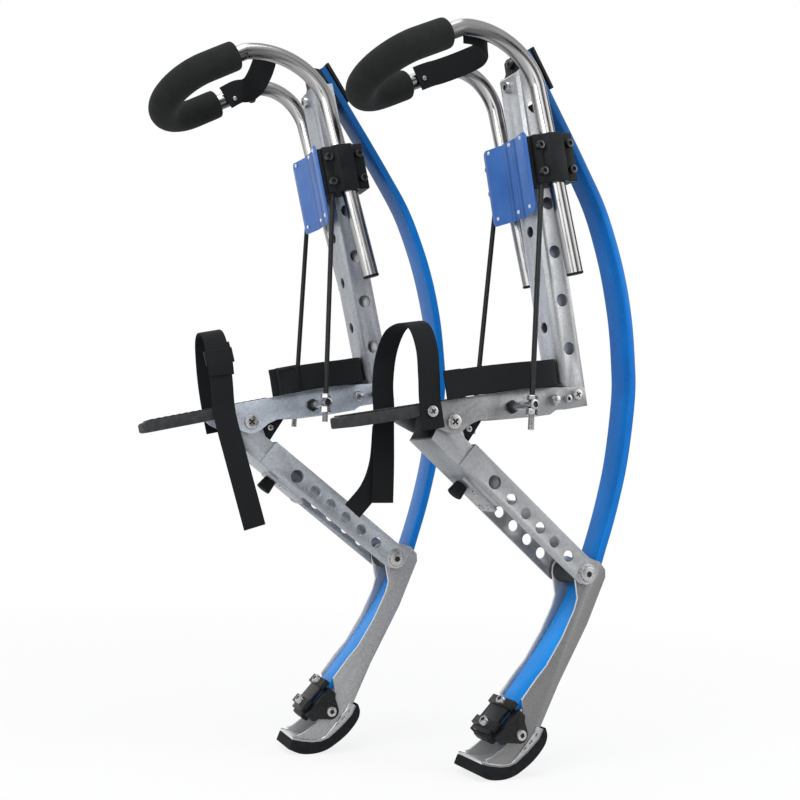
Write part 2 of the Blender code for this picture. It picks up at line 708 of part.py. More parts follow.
def toe_strap(name, s, seat, tails):
    """Instep strap: screwed to the plate on side -s, tails on side s."""
    y0 = FRONT_IN + PLATE_T + 0.0014
    yt = y0 + 0.0006
    x_low = 0.0290
    pts = [(x_low, -s * y0, -0.0050), (x_low, -s * y0, 0.0300), (0.0270, -s * 0.0480, 0.0620),
           (0.0240, -s * 0.0470, 0.0950), (0.0225, -s * 0.0330, 0.1230), (0.0230, -s * 0.0050, 0.1320)]
    if tails == 2:
        pts += [(0.0290, s * 0.0250, 0.1250), (0.0370, s * 0.0450, 0.0980), (0.0460, s * 0.0490, 0.0620),
                (0.0520, s * yt, 0.0280), (0.0560, s * yt, 0.0050), (0.0640, s * (yt + 0.0004), -0.0450),
                (0.0720, s * (yt + 0.0024), -0.0920)]
    else:
        pts += [(0.0240, s * 0.0250, 0.1240), (0.0265, s * 0.0450, 0.0980), (0.0300, s * 0.0490, 0.0620),
                (0.0330, s * yt, 0.0280), (0.0335, s * (yt + 0.0010), 0.0050),
                (0.0315, s * (yt + 0.0056), -0.0400), (0.0285, s * (yt + 0.0074), -0.0880),
                (0.0250, s * (yt + 0.0074), -0.1380)]
    path = smooth(pts, 2)
    wides = [(1.0, 0.0, 0.0)] * len(path)
    ob = finish(ribbon(path, wides, STRAP_W, STRAP_T), name, WEBBING, seat)
    if tails == 2:
        q = [(0.0570, s * (yt + 0.0012), 0.0060), (0.0680, s * (yt + 0.0040), -0.0400),
             (0.0850, s * (yt + 0.0075), -0.0720), (0.1120, s * (yt + 0.0105), -0.0960)]
        path = smooth(q, 3)
        fuse(ob, ribbon(path, [(0.9, 0.0, 0.35)] * len(path), STRAP_W - 0.003, STRAP_T), seat)
    bm = rod((x_low, -s * (y0 + 0.0005), 0.0170), (x_low, -s * (y0 + 0.0036), 0.0170), 0.0060, 12)
    fuse(ob, bm, seat)
    return ob


def heel_strap(name, s, seat, buckle):
    """Band round the heel just above the frame; its far end is the shorter one."""
    z, yo = HEEL_BAND_Z, 0.0500
    rear = POST_FRONT + GAP_FIT + STRAP_T / 2 + 0.0004
    front = -0.0350 if buckle else 0.0080
    side = [(-0.0500, yo), (-0.1050, yo), (-0.1380, 0.0465), (-0.1620, 0.0350), (-0.1755, 0.0190),
            (rear, 0.0060)]
    pts = [(front, yo, z)] + [(x, y, z) for x, y in side] + [(x, -y, z) for x, y in reversed(side[1:])]
    pts.append((-0.0620, -yo, z))
    path = smooth(pts, 2)
    ob = finish(ribbon(path, [(0, 0, 1)] * len(path), HEEL_BAND_W, STRAP_T), name, WEBBING, seat)
    if buckle:
        x = front - 0.0080
        fuse(ob, box(x - 0.0320, x, yo - 0.0036, yo + 0.0056, z - 0.0180, z + 0.0180), seat)
    return ob


def strut_sleeve(name, seat):
    """Upper half of the strut: inner channel with ears for the toe pivot."""
    ua, va = 0.2813, -0.0152
    back = CHANNEL_BACK + CHANNEL_WALL + 0.0006
    ear = [(ua + 0.0165 * cos(radians(t)), va + 0.0165 * sin(radians(t))) for t in range(60, -151, -30)]
    outline = [(SLEEVE_LOW, back), (SLEEVE_LOW, SLEEVE_WEB), (0.2860, SLEEVE_WEB)] + ear
    outline += [(0.2520, back)]
    ob = finish(prism([uv(*p) for p in outline], -SLEEVE_HALF, SLEEVE_HALF), name, ALU, seat)
    hollow = [(SLEEVE_LOW - 0.01, -0.06), (SLEEVE_LOW - 0.01, SLEEVE_WEB - SLEEVE_WALL),
              (0.34, SLEEVE_WEB - SLEEVE_WALL), (0.34, -0.06)]
    inner = SLEEVE_HALF - SLEEVE_WALL
    cut(ob, prism([uv(*p) for p in hollow], -inner, inner), seat)
    bm = bmesh.new()
    for s in (1, -1):
        add_rod(bm, (0, s * (inner + 0.001), 0), (0, s * (FRONT_IN - GAP_FIT), 0), 0.0100, 14)
    fuse(ob, bm, seat)
    plate = [(0.1500, SLEEVE_WEB - 0.001), (0.1500, SLEEVE_WEB + 0.0038), (0.2140, SLEEVE_WEB + 0.0038),
             (0.2140, SLEEVE_WEB - 0.001)]
    fuse(ob, prism([uv(*p) for p in plate], -0.0190, 0.0160), seat)
    bm = bmesh.new()
    x, z = uv(0.1840, 0.0)
    add_rod(bm, (x, -0.06, z), (x, 0.06, z), 0.0092, 16)
    add_rod(bm, (0, -0.06, 0), (0, 0.06, 0), BORE_R, 12)
    cut(ob, bm, seat)
    return ob


def strut_channel(name, seat):
    """Lower half of the strut: perforated channel, open in front, round the sleeve."""
    back, front = CHANNEL_BACK, CHANNEL_FRONT
    outline = [(CHANNEL_TOP, back), (CHANNEL_TOP, front), (0.0010, front), (-0.0090, 0.0110),
               (-0.0140, 0.0020), (-0.0150, -0.0080), (-0.0120, -0.0165), (-0.0060, back)]
    ob = finish(prism([uv(*p) for p in outline], -CHANNEL_HALF, CHANNEL_HALF), name, ALU, seat)
    inner = CHANNEL_HALF - CHANNEL_WALL
    hollow = [(-0.05, -0.06), (-0.05, 0.05), (0.30, 0.05), (0.30, back + CHANNEL_WALL),
              (WEB_LOW, back + CHANNEL_WALL), (WEB_LOW, -0.06)]
    cut(ob, prism([uv(*p) for p in hollow], -inner, inner), seat)
    bm = bmesh.new()
    for k in range(STRUT_HOLES):
        x, z = uv(STRUT_HOLE_FIRST + k * STRUT_HOLE_PITCH, 0.0)
        add_rod(bm, (x, -0.06, z), (x, 0.06, z), 0.0078, 12)
    add_rod(bm, (ANKLE[0], -0.06, ANKLE[1]), (ANKLE[0], 0.06, ANKLE[1]), BORE_R, 12)
    x, z = uv(0.1840, 0.0)
    add_rod(bm, (x, -0.06, z), (x, 0.06, z), 0.0092, 16)
    cut(ob, bm, seat)
    bm = bmesh.new()
    for k in (1.45, 3.40):
        u = STRUT_HOLE_FIRST + k * STRUT_HOLE_PITCH
        hole = [uv(u - SLOT_HALF, back - 0.01), uv(u + SLOT_HALF, back - 0.01),
                uv(u + SLOT_HALF, back + 0.006), uv(u - SLOT_HALF, back + 0.006)]
        add_prism(bm, hole, -SLOT_SIDE, SLOT_SIDE)
    cut(ob, bm, seat)
    return ob


def bump_stop(name, seat):
    """Rubber plug on the front of the sleeve."""
    v = SLEEVE_WEB + 0.0038 + GAP_FIT
    x0, z0 = uv(0.2030, v)
    x1, z1 = uv(0.2030, v + 0.0165)
    return finish(rod((x0, -0.0015, z0), (x1, -0.0015, z1), 0.0088, 12, 0.0105), name, RUBBER, seat)


def travel_stop(name, seat):
    """Rubber block under the board that the strut closes on."""
    pts = [(-0.0130, 0.0167), (-0.0130, -0.0110), (-0.0250, -0.0290), (-0.0480, -0.0060), (-0.0480, 0.0167)]
    return finish(prism(pts, -0.0280, 0.0280), name, RUBBER, seat)


def pivot_bolt(name, at, half, head_r, head_h, seat, collar=None):
    """Plain bolt across a pivot with a head at each end."""
    x, z = at
    ob = finish(cross_rod(x, z, PIN_R, half + 0.001), name, ZINC, seat)
    bm = bmesh.new()
    for s in (1, -1):
        add_rod(bm, (x, s * half, z), (x, s * (half + head_h), z), head_r, 12, head_r * 0.86)
    fuse(ob, bm, seat)
    if collar:
        fuse(ob, cross_rod(x, z, collar[0], collar[1], 16), seat)
    return ob


SOLE = [(0.0248, -0.4276), (0.0130, -0.4335), (-0.0015, -0.4390), (-0.0130, -0.4412), (-0.0235, -0.4400),
        (-0.0430, -0.4308), (-0.0618, -0.4190), (-0.0697, -0.4090)]


def offset(line, d):
    """Parallel copy of an open polyline in x, z."""
    out = []
    for i, p in enumerate(line):
        a, b = line[max(0, i - 1)], line[min(len(line) - 1, i + 1)]
        l = hypot(b[0] - a[0], b[1] - a[1])
        out.append((p[0] + d * (b[1] - a[1]) / l, p[1] - d * (b[0] - a[0]) / l))
    return out


def hoof_arm(name, seat):
    """Two cheek plates joined by the curved sole plate."""
    cx, cz = HOOF_PIN
    lobe = [sn(0.0396 + 0.0103 * cos(radians(t)), -0.0182 + 0.0103 * sin(radians(t)))
            for t in (140, 110, 80, 50)]
    front = [(-0.1560, -0.2160), (-0.1530, -0.2260), (-0.1525, -0.2560), (-0.1450, -0.2705),
             (-0.1210, -0.3010), (-0.0905, -0.3320), (-0.0735, -0.3440), (-0.0470, -0.3655),
             sn(0.0120, -0.0010), sn(0.0200, -0.0095)]
    toe = [sn(0.0646, -0.0150), sn(0.0850, -0.0100), (0.0170, -0.4262)]
    up = offset(SOLE, 0.0005)[1:-1]
    rear = [(-0.0680, -0.4060), (-0.1040, -0.3590), (-0.1610, -0.2930), (-0.2005, -0.2380),
            (-0.2020, -0.2280), (-0.1950, -0.2160), (-0.1800, -0.2085), (-0.1640, -0.2090)]
    outline = front + lobe + toe + up + rear
    ob = finish(prism(outline, ARM_OUT - ARM_T, ARM_OUT), name, ARM_GREY, seat)
    top, low = offset(SOLE, 0.0015), offset(SOLE, -0.0015)
    fuse(ob, prism(top + list(reversed(low)), -SOLE_HALF, SOLE_HALF), seat)
    fuse(ob, prism(outline, -ARM_OUT, -ARM_OUT + ARM_T), seat)
    bm = bmesh.new()
    add_rod(bm, (*[ANKLE[0], -0.06], ANKLE[1]), (ANKLE[0], 0.06, ANKLE[1]), BORE_R, 12)
    add_rod(bm, (cx, -0.06, cz), (cx, 0.06, cz), BORE_R, 12)
    cut(ob, bm, seat)
    return ob


def hoof_rubber(name, seat):
    """Moulded tread under the sole plate."""
    top = offset(SOLE, -0.0015 - GAP_FIT)
    low = [(0.0330, -0.4400), (0.0190, -0.4500), (0.0031, -0.4551), (-0.0130, -0.4563), (-0.0280, -0.4532),
           (-0.0500, -0.4438), (-0.0680, -0.4304), (-0.0745, -0.4190), (-0.0740, -0.4085)]
    return finish(prism(top + list(reversed(low)), -RUBBER_HALF, RUBBER_HALF), name, RUBBER, seat)


def spring_yoke(name, seat):
    """Forked casting that ties the blade to the hoof pin."""
    k = SPRING_T / 2 + 0.0003
    y0, y1 = ARM_OUT + 0.0005, 0.0345
    hub = [(0.0396 + 0.0115 * cos(radians(t)), -0.0182 + 0.0115 * sin(radians(t)))
           for t in range(-20, -161, -28)]
    cheek = [(0.0180, k - 0.0006), (0.0660, k - 0.0006), (0.0660, -0.0070), (0.0580, -0.0125)] + hub
    cheek += [(0.0240, -0.0125), (0.0180, -0.0070)]
    pts = [sn(*p) for p in cheek]
    ob = finish(prism(pts, y0, y1), name, BLACK_STEEL, seat)
    fuse(ob, prism(pts, -y1, -y0), seat)
    rail = [sn(0.0200, k - 0.0006), sn(0.0640, k - 0.0006), sn(0.0640, -0.0070), sn(0.0200, -0.0070)]
    bm = bmesh.new()
    for s in (1, -1):
        lo, hi = sorted((s * 0.0212, s * (y0 + 0.001)))
        add_prism(bm, rail, lo, hi)
    fuse(ob, bm, seat)
    bed = [sn(0.0220, -k), sn(0.0620, -k), sn(0.0620, -0.0132), sn(0.0220, -0.0132)]
    fuse(ob, prism(bed, -0.0240, 0.0240), seat)
    x, z = HOOF_PIN
    fuse(ob, cross_rod(x, z, PIN_R, y1 + 0.001), seat)
    bm = bmesh.new()
    for s in (1, -1):
        add_rod(bm, (x, s * (y1 - 0.001), z), (x, s * (y1 + 0.003), z), 0.0068, 12)
    fuse(ob, bm, seat)
    return ob


def yoke_clamp(name, seat):
    """Bar on the front of the blade with two ribs and a bolt in each."""
    k = SPRING_T / 2 + 0.0003
    bar = [sn(0.0120, k), sn(0.0660, k), sn(0.0660, k + 0.0050), sn(0.0120, k + 0.0050)]
    ob = finish(prism(bar, -0.0205, 0.0205), name, BLACK_STEEL, seat)
    bm = bmesh.new()
    for s0 in RIBS:
        lug = [sn(s0 - 0.0068, k + 0.0004), sn(s0 + 0.0068, k + 0.0004),
               sn(s0 + 0.0060, k + 0.0084), sn(s0 - 0.0060, k + 0.0084)]
        add_prism(bm, lug, -RIB_HALF, RIB_HALF)
    fuse(ob, bm, seat)
    bm = bmesh.new()
    for s0 in RIBS:
        a, b = sn(s0, k + 0.0070), sn(s0, k + 0.0130)
        add_rod(bm, (a[0], RIB_BOLT_Y, a[1]), (b[0], RIB_BOLT_Y, b[1]), 0.0060, 12)
    fuse(ob, bm, seat)
    return ob


def stilt(tag, medial, lean, yaw, at):
    """All pieces of one stilt; medial is the side that faces the other leg."""
    root = empty("stilt_" + tag, None, at)
    root.rotation_euler = (0.0, radians(lean), radians(yaw))
    base = Seat(root, (0, 0, 0))
    strut = Seat(empty("toe_pivot_" + tag, root, (0, 0, 0)), (0, 0, 0))
    b3 = (ANKLE[0], 0, ANKLE[1])
    arm = Seat(empty("ankle_pivot_" + tag, strut.obj, b3), b3)
    c3 = (HOOF_PIN[0], 0, HOOF_PIN[1])
    yoke = Seat(empty("hoof_pivot_" + tag, arm.obj, Vector(c3) - Vector(b3)), c3)
    k3 = (TUBE_LOW_X, 0, TUBE_LOW_Z)
    knee = Seat(empty("knee_slide_" + tag, root, k3), k3)

    side_plate("side_plate_outer_" + tag, -medial, base)
    side_plate("side_plate_inner_" + tag, medial, base)
    foot_board("foot_board_" + tag, base)
    post("post_" + tag, base)
    clamp_saddle("clamp_saddle_" + tag, base)
    clamp_cap("clamp_cap_outer_" + tag, -medial, base)
    clamp_cap("clamp_cap_inner_" + tag, medial, base)
    calf_plate("calf_plate_" + tag, base)
    for where, s in (("outer", -medial), ("inner", medial)):
        barrel("rod_barrel_%s_%s" % (where, tag), s, base)
        brace_rod("brace_rod_%s_%s" % (where, tag), s, base, ROD_TAIL[tag])
    leaf_spring("leaf_spring_" + tag, base)
    top_holder("spring_holder_" + tag, base)
    top_cap("spring_cap_" + tag, base)
    travel_stop("travel_stop_" + tag, base)
    pivot_bolt("toe_axle_" + tag, TOE, FRONT_IN + PLATE_T + GAP_FIT, 0.0085, 0.0034, base)
    toe_strap("toe_strap_" + tag, medial, base, 2 if tag == "left" else 1)
    heel_strap("heel_strap_" + tag, medial, base, tag == "right")

    knee_bar("knee_bar_" + tag, knee, LOOP_BACK[tag])
    knee_foam("knee_foam_" + tag, knee, LOOP_BACK[tag])
    knee_strap("knee_strap_" + tag, knee, LOOP_BACK[tag], tag == "right")

    strut_sleeve("strut_sleeve_" + tag, strut)
    strut_channel("strut_channel_" + tag, strut)
    bump_stop("bump_stop_" + tag, strut)
    pivot_bolt("ankle_axle_" + tag, ANKLE, CHANNEL_HALF + GAP_FIT, 0.0092, 0.0042, strut,
               (0.0140, ARM_OUT - ARM_T - 0.0004))

    hoof_arm("hoof_arm_" + tag, arm)
    hoof_rubber("hoof_rubber_" + tag, arm)
    spring_yoke("spring_yoke_" + tag, yoke)
    yoke_clamp("yoke_clamp_" + tag, yoke)


def floor_drop(lean):
    """Depth of the lowest point of the tread below the toe pivot."""
    low = [(0.0330, -0.4400), (0.0190, -0.4500), (0.0031, -0.4551), (-0.0130, -0.4563), (-0.0280, -0.4532)]
    a = radians(lean)
    return max(x * sin(a) - z * cos(a) for x, z in low)


AX = -BOARD_CENTRE_X
AZ = -BOARD_CENTRE_Z
DROP = floor_drop(LEAN_RIGHT) - floor_drop(LEAN_LEFT)
stilt("left", -1, LEAN_LEFT, 0.0, (AX - STEP / 2, GAP / 2, AZ))
stilt("right", 1, LEAN_RIGHT, YAW_RIGHT, (AX + STEP / 2, -GAP / 2, AZ + DROP))
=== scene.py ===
# %% [markdown]
# A pair of spring-blade jumping stilts, dressed for a photograph.
# The imported solids give every rigid piece its size and place, so this lesson starts by loading them as a
# fixed frame. The box of the solids is kept; its lowest point sets the floor.

# %% Load the frame
import bpy
from math import sin, cos, tan, pi, radians, hypot
from mathutils import Matrix, Vector


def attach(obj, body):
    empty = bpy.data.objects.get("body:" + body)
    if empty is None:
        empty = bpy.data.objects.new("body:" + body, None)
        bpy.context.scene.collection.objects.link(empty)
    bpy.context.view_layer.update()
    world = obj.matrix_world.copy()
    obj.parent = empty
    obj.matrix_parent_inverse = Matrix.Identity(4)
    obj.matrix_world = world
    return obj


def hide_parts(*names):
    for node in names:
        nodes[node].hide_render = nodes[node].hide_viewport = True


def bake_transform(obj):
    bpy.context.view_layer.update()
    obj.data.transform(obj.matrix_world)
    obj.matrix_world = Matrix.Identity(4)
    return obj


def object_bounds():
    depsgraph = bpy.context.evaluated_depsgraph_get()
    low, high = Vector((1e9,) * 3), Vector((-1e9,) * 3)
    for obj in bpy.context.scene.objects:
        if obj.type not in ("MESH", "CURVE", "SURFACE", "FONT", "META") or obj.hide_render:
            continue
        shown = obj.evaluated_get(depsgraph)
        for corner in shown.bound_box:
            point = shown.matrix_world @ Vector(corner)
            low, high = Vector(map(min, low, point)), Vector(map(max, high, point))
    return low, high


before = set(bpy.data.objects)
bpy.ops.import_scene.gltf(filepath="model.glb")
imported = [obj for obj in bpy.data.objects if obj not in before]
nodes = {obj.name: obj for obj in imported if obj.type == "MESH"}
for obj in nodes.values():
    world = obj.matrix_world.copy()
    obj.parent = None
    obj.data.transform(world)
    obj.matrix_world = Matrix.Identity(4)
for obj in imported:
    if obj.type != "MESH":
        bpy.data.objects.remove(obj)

cad_box = [list(map(float, corner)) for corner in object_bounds()]
print("solids loaded:", len(nodes))

# %% [markdown]
# Each stilt is easiest to think about standing upright with its toe pivot at zero. Two placings carry that
# drawing frame to where the left and the right stilt lean in the picture. Every new piece is modelled in the
# drawing frame and its mesh is then moved, so the finished object itself stays at the origin.

# %% Where the two stilts stand
LEAN, RIGHT_TURN = {"left": 11.9, "right": 14.4}, -3.9
PLACE = {
    "left": Matrix.Translation((-0.0775, 0.1020, -0.0270)) @ Matrix.Rotation(radians(LEAN["left"]), 4, "Y"),
    "right": Matrix.Translation((0.1175, -0.1020, -0.0313855)) @ Matrix.Rotation(radians(RIGHT_TURN), 4, "Z")
    @ Matrix.Rotation(radians(LEAN["right"]), 4, "Y"),
}
MEDIAL = {"left": -1, "right": 1}
TAGS = ("left", "right")


def settle(ob, tag, body):
    """Moves a finished mesh to its stilt and makes it ride on a body."""
    ob.data.transform(ob.matrix_world)
    ob.matrix_world = Matrix.Identity(4)
    ob.data.transform(PLACE[tag])
    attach(ob, body)
    return ob


print("each stilt leans by its own angle:", LEAN)

# %% [markdown]
# The camera repeats the photograph's: about a metre and a half away on the wearer's left, a little ahead of
# them and low down. A first guess came from measured points; its place, turn and lens were then nudged until the
# outlines of both stilts lay on those in the photograph.

# %% Camera
scene = bpy.context.scene
cam_data = bpy.data.cameras.new("photo_camera")
cam_data.lens, cam_data.sensor_width = 51.1016, 36.0
cam = bpy.data.objects.new("photo_camera", cam_data)
scene.collection.objects.link(cam)
cam.location = (0.58115, 1.39946, -0.12515)
cam.rotation_euler = [radians(angle) for angle in (94.9577, -2.3477, 154.8409)]
scene.camera = cam
print("camera at", [round(v, 3) for v in cam.location])

# %% [markdown]
# Light comes from a pale world and three lamps. The background is white because the world shows white to camera,
# mirror and glass rays while it lights the object at a plain level; a node that tells the kinds of ray apart
# chooses between the two. One short function adds a node, sets its values and wires it up.

# %% A short way to add nodes
def add_node(tree, kind, sockets=None, **settings):
    """Adds a node; each socket named gets a value, or a wire from another node's output."""
    node = tree.nodes.new(kind)
    for key, value in settings.items():
        setattr(node, key, value)
    for key, value in (sockets or {}).items():
        if isinstance(value, bpy.types.NodeSocket):
            tree.links.new(value, node.inputs[key])
        else:
            node.inputs[key].default_value = value
    return node


print("node tool ready")


# %% White world
def seen_ray(tree):
    """1 for rays of the camera, of mirrors and of glass."""
    rays = add_node(tree, "ShaderNodeLightPath").outputs
    seen = rays["Is Camera Ray"]
    for more in ("Is Glossy Ray", "Is Transmission Ray"):
        seen = add_node(tree, "ShaderNodeMath", {0: seen, 1: rays[more]}, operation="MAXIMUM").outputs[0]
    return seen


def show_white(tree, share, plain, white, output):
    """Shows one shader where the share is 0 and the white one where it is 1."""
    both = add_node(tree, "ShaderNodeMixShader", {"Fac": share, 1: plain.outputs[0], 2: white.outputs[0]})
    add_node(tree, output, {"Surface": both.outputs[0]})


scene.view_settings.view_transform = "Standard"
world = bpy.data.worlds.new("studio")
scene.world = world
world.use_nodes = True
tree = world.node_tree
tree.nodes.clear()
show_white(tree, seen_ray(tree),
           add_node(tree, "ShaderNodeBackground", {"Color": (0.96, 0.98, 1.0, 1.0), "Strength": 0.70}),
           add_node(tree, "ShaderNodeBackground", {"Color": (1.0, 1.0, 1.0, 1.0), "Strength": 1.0}),
           "ShaderNodeOutputWorld")
print("world made:", world.name)

# %% [markdown]
# A large soft lamp hangs above and two weaker ones stand at the sides. They are squares of more than a metre,
# because small ones would draw hard shadows.

# %% Lamps
def lamp(name, where, size, watts):
    """Soft square lamp that points at the origin."""
    data = bpy.data.lights.new(name, "AREA")
    data.size, data.energy = size, watts
    ob = bpy.data.objects.new(name, data)
    scene.collection.objects.link(ob)
    ob.location = where
    ob.rotation_euler = (-Vector(where)).to_track_quat("-Z", "Y").to_euler()


lamp("lamp_top", (0.6, 0.9, 2.2), 1.6, 26.0)
lamp("lamp_front", (1.9, 1.3, 0.7), 1.2, 13.0)
lamp("lamp_rear", (-1.8, 1.2, 0.9), 1.2, 10.0)
print("three lamps hung")

# %% [markdown]
# The floor is one pale plane just under the hooves. Like the world it shows white, but near the stilts it keeps a
# share of its own grey, so that their shadow is seen.

# %% Floor
floor_z = cad_box[0][2] - 0.0005
bpy.ops.object.select_all(action="DESELECT")
bpy.ops.mesh.primitive_plane_add(size=30.0, location=(0.0, 0.0, floor_z))
floor = bpy.context.object
floor.name = "floor"
floor_mat = bpy.data.materials.new("pale_floor")
floor_mat.use_nodes = True
tree = floor_mat.node_tree
tree.nodes.clear()
spot = add_node(tree, "ShaderNodeTexCoord").outputs["Object"]
far = add_node(tree, "ShaderNodeVectorMath", {0: spot}, operation="LENGTH").outputs["Value"]
fade = add_node(tree, "ShaderNodeMapRange",
                {"Value": far, "From Min": 0.5, "From Max": 2.2, "To Min": 0.82, "To Max": 1.0})
share = add_node(tree, "ShaderNodeMath", {0: seen_ray(tree), 1: fade.outputs["Result"]}, operation="MULTIPLY")
show_white(tree, share.outputs[0],
           add_node(tree, "ShaderNodeBsdfDiffuse", {"Color": (0.88, 0.88, 0.88, 1.0)}),
           add_node(tree, "ShaderNodeEmission", {"Strength": 1.0}), "ShaderNodeOutputMaterial")
floor.data.materials.append(floor_mat)
print("floor at", round(floor_z, 4))

# %% [markdown]
# Chrome shows what stands around it, and in an all-white room it looks like white paint. Photographers hang dark
# cards beside the lens to draw a dark line along each tube. Three such cards stand here; only mirror rays see them.

# %% Dark cards for the chrome
CARD_AIM, CARD_GREY = Vector((0.0, 0.0, 0.2)), (0.02, 0.02, 0.02, 1.0)


def card(name, where, size):
    """Dark plane that faces the stilts."""
    bpy.ops.object.select_all(action="DESELECT")
    bpy.ops.mesh.primitive_plane_add(size=1.0, location=where)
    ob = bpy.context.object
    ob.name = name
    ob.scale = (*size, 1.0)
    ob.rotation_euler = (CARD_AIM - Vector(where)).to_track_quat("Z", "Y").to_euler()
    dark = bpy.data.materials.new(name)
    dark.use_nodes = True
    dark.node_tree.nodes["Principled BSDF"].inputs["Base Color"].default_value = CARD_GREY
    ob.data.materials.append(dark)
    ob.visible_camera = ob.visible_diffuse = ob.visible_shadow = ob.visible_transmission = False


card("dark_card_front", (1.9, 2.1, 0.1), (1.2, 3.2))
card("dark_card_rear", (-0.7, 2.7, 0.1), (0.8, 3.2))
card("dark_card_side", (-2.2, 0.2, 0.2), (1.6, 3.0))
print("three dark cards hung")

# %% [markdown]
# Finishes. Each one starts as a Principled shader with plain values, and small noise patterns in metres then
# vary colour, roughness and height. Patterns read Object coordinates, which here are the row frame itself.

# %% Patterns for a finish
SPECULAR, SHEEN, SHEEN_ROUGH = "Specular IOR Level", "Sheen Weight", "Sheen Roughness"
COAT, COAT_ROUGH = "Coat Weight", "Coat Roughness"


class Patterns:
    """A material with plain values, and patterns that can vary them."""

    def __init__(self, name, base, metal, rough, sockets=None):
        self.mat = bpy.data.materials.new(name)
        self.mat.use_nodes = True
        self.tree = self.mat.node_tree
        self.shader = self.tree.nodes["Principled BSDF"].inputs
        plain = {"Base Color": (*base, 1.0), "Metallic": metal, "Roughness": rough, **(sockets or {})}
        for key, value in plain.items():
            self.shader[key].default_value = value
        self.coords = self.node("ShaderNodeTexCoord").outputs

    def node(self, kind, sockets=None, **settings):
        return add_node(self.tree, kind, sockets, **settings)

    def stretched(self, scale, source="Object", turn=(0.0, 0.0, 0.0)):
        sockets = {"Scale": scale, "Rotation": turn, "Vector": self.coords[source]}
        return self.node("ShaderNodeMapping", sockets).outputs["Vector"]

    def noise(self, scale, detail, vector=None):
        sockets = {"Scale": scale, "Detail": detail, "Vector": vector or self.coords["Object"]}
        return self.node("ShaderNodeTexNoise", sockets).outputs["Fac"]

    def cells(self, scale):
        sockets = {"Scale": scale, "Vector": self.coords["Object"]}
        return self.node("ShaderNodeTexVoronoi", sockets).outputs["Distance"]

    def along(self, source, direction):
        """How far a coordinate, or a normal, goes along a direction."""
        sockets = {0: self.coords[source], 1: direction}
        return self.node("ShaderNodeVectorMath", sockets, operation="DOT_PRODUCT").outputs["Value"]


print("pattern tools ready")


# %% From patterns to a finish
class Finish(Patterns):
    """Turns patterns into the colour, roughness and height of a material."""

    def ramp(self, fac, stops):
        """Colours at places from 0 to 1; a single number is a grey."""
        ramp = self.node("ShaderNodeValToRGB", {"Fac": fac})
        marks = ramp.color_ramp.elements
        while len(marks) < len(stops):
            marks.new(0.5)
        for mark, (place, tone) in zip(marks, stops):
            mark.position = place
            mark.color = (tone, tone, tone, 1.0) if isinstance(tone, float) else (*tone, 1.0)
        return ramp.outputs["Color"]

    def remap(self, fac, a, b, lo=0.3, hi=0.7):
        sockets = {"Value": fac, "From Min": lo, "From Max": hi, "To Min": a, "To Max": b}
        return self.node("ShaderNodeMapRange", sockets).outputs["Result"]

    def mix(self, fac, a, b, kind="MIX"):
        a, b = [(*end, 1.0) if isinstance(end, tuple) else end for end in (a, b)]
        sockets = {"Factor": fac, 6: a, 7: b}
        return self.node("ShaderNodeMix", sockets, data_type="RGBA", blend_type=kind).outputs[2]

    def times(self, a, b):
        return self.mix(1.0, a, b, "MULTIPLY")

    def math(self, kind, *values):
        return self.node("ShaderNodeMath", dict(enumerate(values)), operation=kind).outputs[0]

    def colour(self, out):
        self.tree.links.new(out, self.shader["Base Color"])

    def rough(self, out):
        self.tree.links.new(out, self.shader["Roughness"])

    def bump(self, height, strength, distance):
        sockets = {"Strength": strength, "Distance": distance, "Height": height}
        self.tree.links.new(self.node("ShaderNodeBump", sockets).outputs["Normal"], self.shader["Normal"])


print("finish tools ready")

# %% [markdown]
# Cast and extruded aluminium: light grey with a fine sparkle, a little uneven in tone. The right stilt's metal is
# brighter and bluer in the photograph, so the same function makes it finishes of its own. Their extra brightness is
# painted light.

# %% Aluminium
AHEAD, SIDEWAYS, UPWARDS = (1.0, 0.0, 0.0), (0.0, 1.0, 0.0), (0.0, 0.0, 1.0)
PLAIN_GREY = (0.345, 0.353, 0.363)


def aluminium(name, gain, sparkle, tint=(1.0, 1.0, 1.0), front=1.0):
    """Grey metal; faces that look towards the toes are front times as bright, as a painted highlight."""
    f = Finish(name, (0.36, 0.37, 0.38), 0.80, 0.42)
    fine = f.noise(1500.0, 1.0)
    shares = (1.0 - sparkle, 1.0, 1.0 + 1.3 * sparkle)
    greys = [tuple(gain * k * c * t for c, t in zip(PLAIN_GREY, tint)) for k in shares]
    metal = f.ramp(fine, list(zip((0.30, 0.52, 0.74), greys)))
    metal = f.times(metal, f.ramp(f.noise(260.0, 2.0), [(0.32, (0.88, 0.885, 0.89)), (0.66, 1.05)]))
    metal = f.times(metal, f.ramp(f.noise(22.0, 3.0), [(0.30, 0.90), (0.70, 1.0)]))
    # Faces that look towards the toes get a painted highlight.
    if front != 1.0:
        metal = f.times(metal, f.remap(f.along("Normal", AHEAD), 1.0, front, 0.55, 0.90))
    f.colour(metal)
    f.rough(f.remap(f.noise(300.0, 2.0), 0.34, 0.50))
    f.bump(fine, 0.12, 0.0004)
    return f.mat


ALUMINIUM = aluminium("cast_aluminium", 0.92, 0.22)
BRIGHT_ALUMINIUM = aluminium("bright_aluminium", 1.20, 0.14)
# The right stilt's two copies are brighter than the left stilt's metal: painted light.
SPARKLING_ALUMINIUM = aluminium("sparkling_aluminium", 1.30, 0.30, (1.0, 1.03, 1.08))
BLUISH_LIT_ALUMINIUM = aluminium("bluish_lit_aluminium", 1.62, 0.30, (1.0, 1.07, 1.17))
# The post strip sits in the shade inside the post, so its grey is painted very bright: painted light.
STRIP_ALUMINIUM = aluminium("bright_strip", 2.20, 0.12)
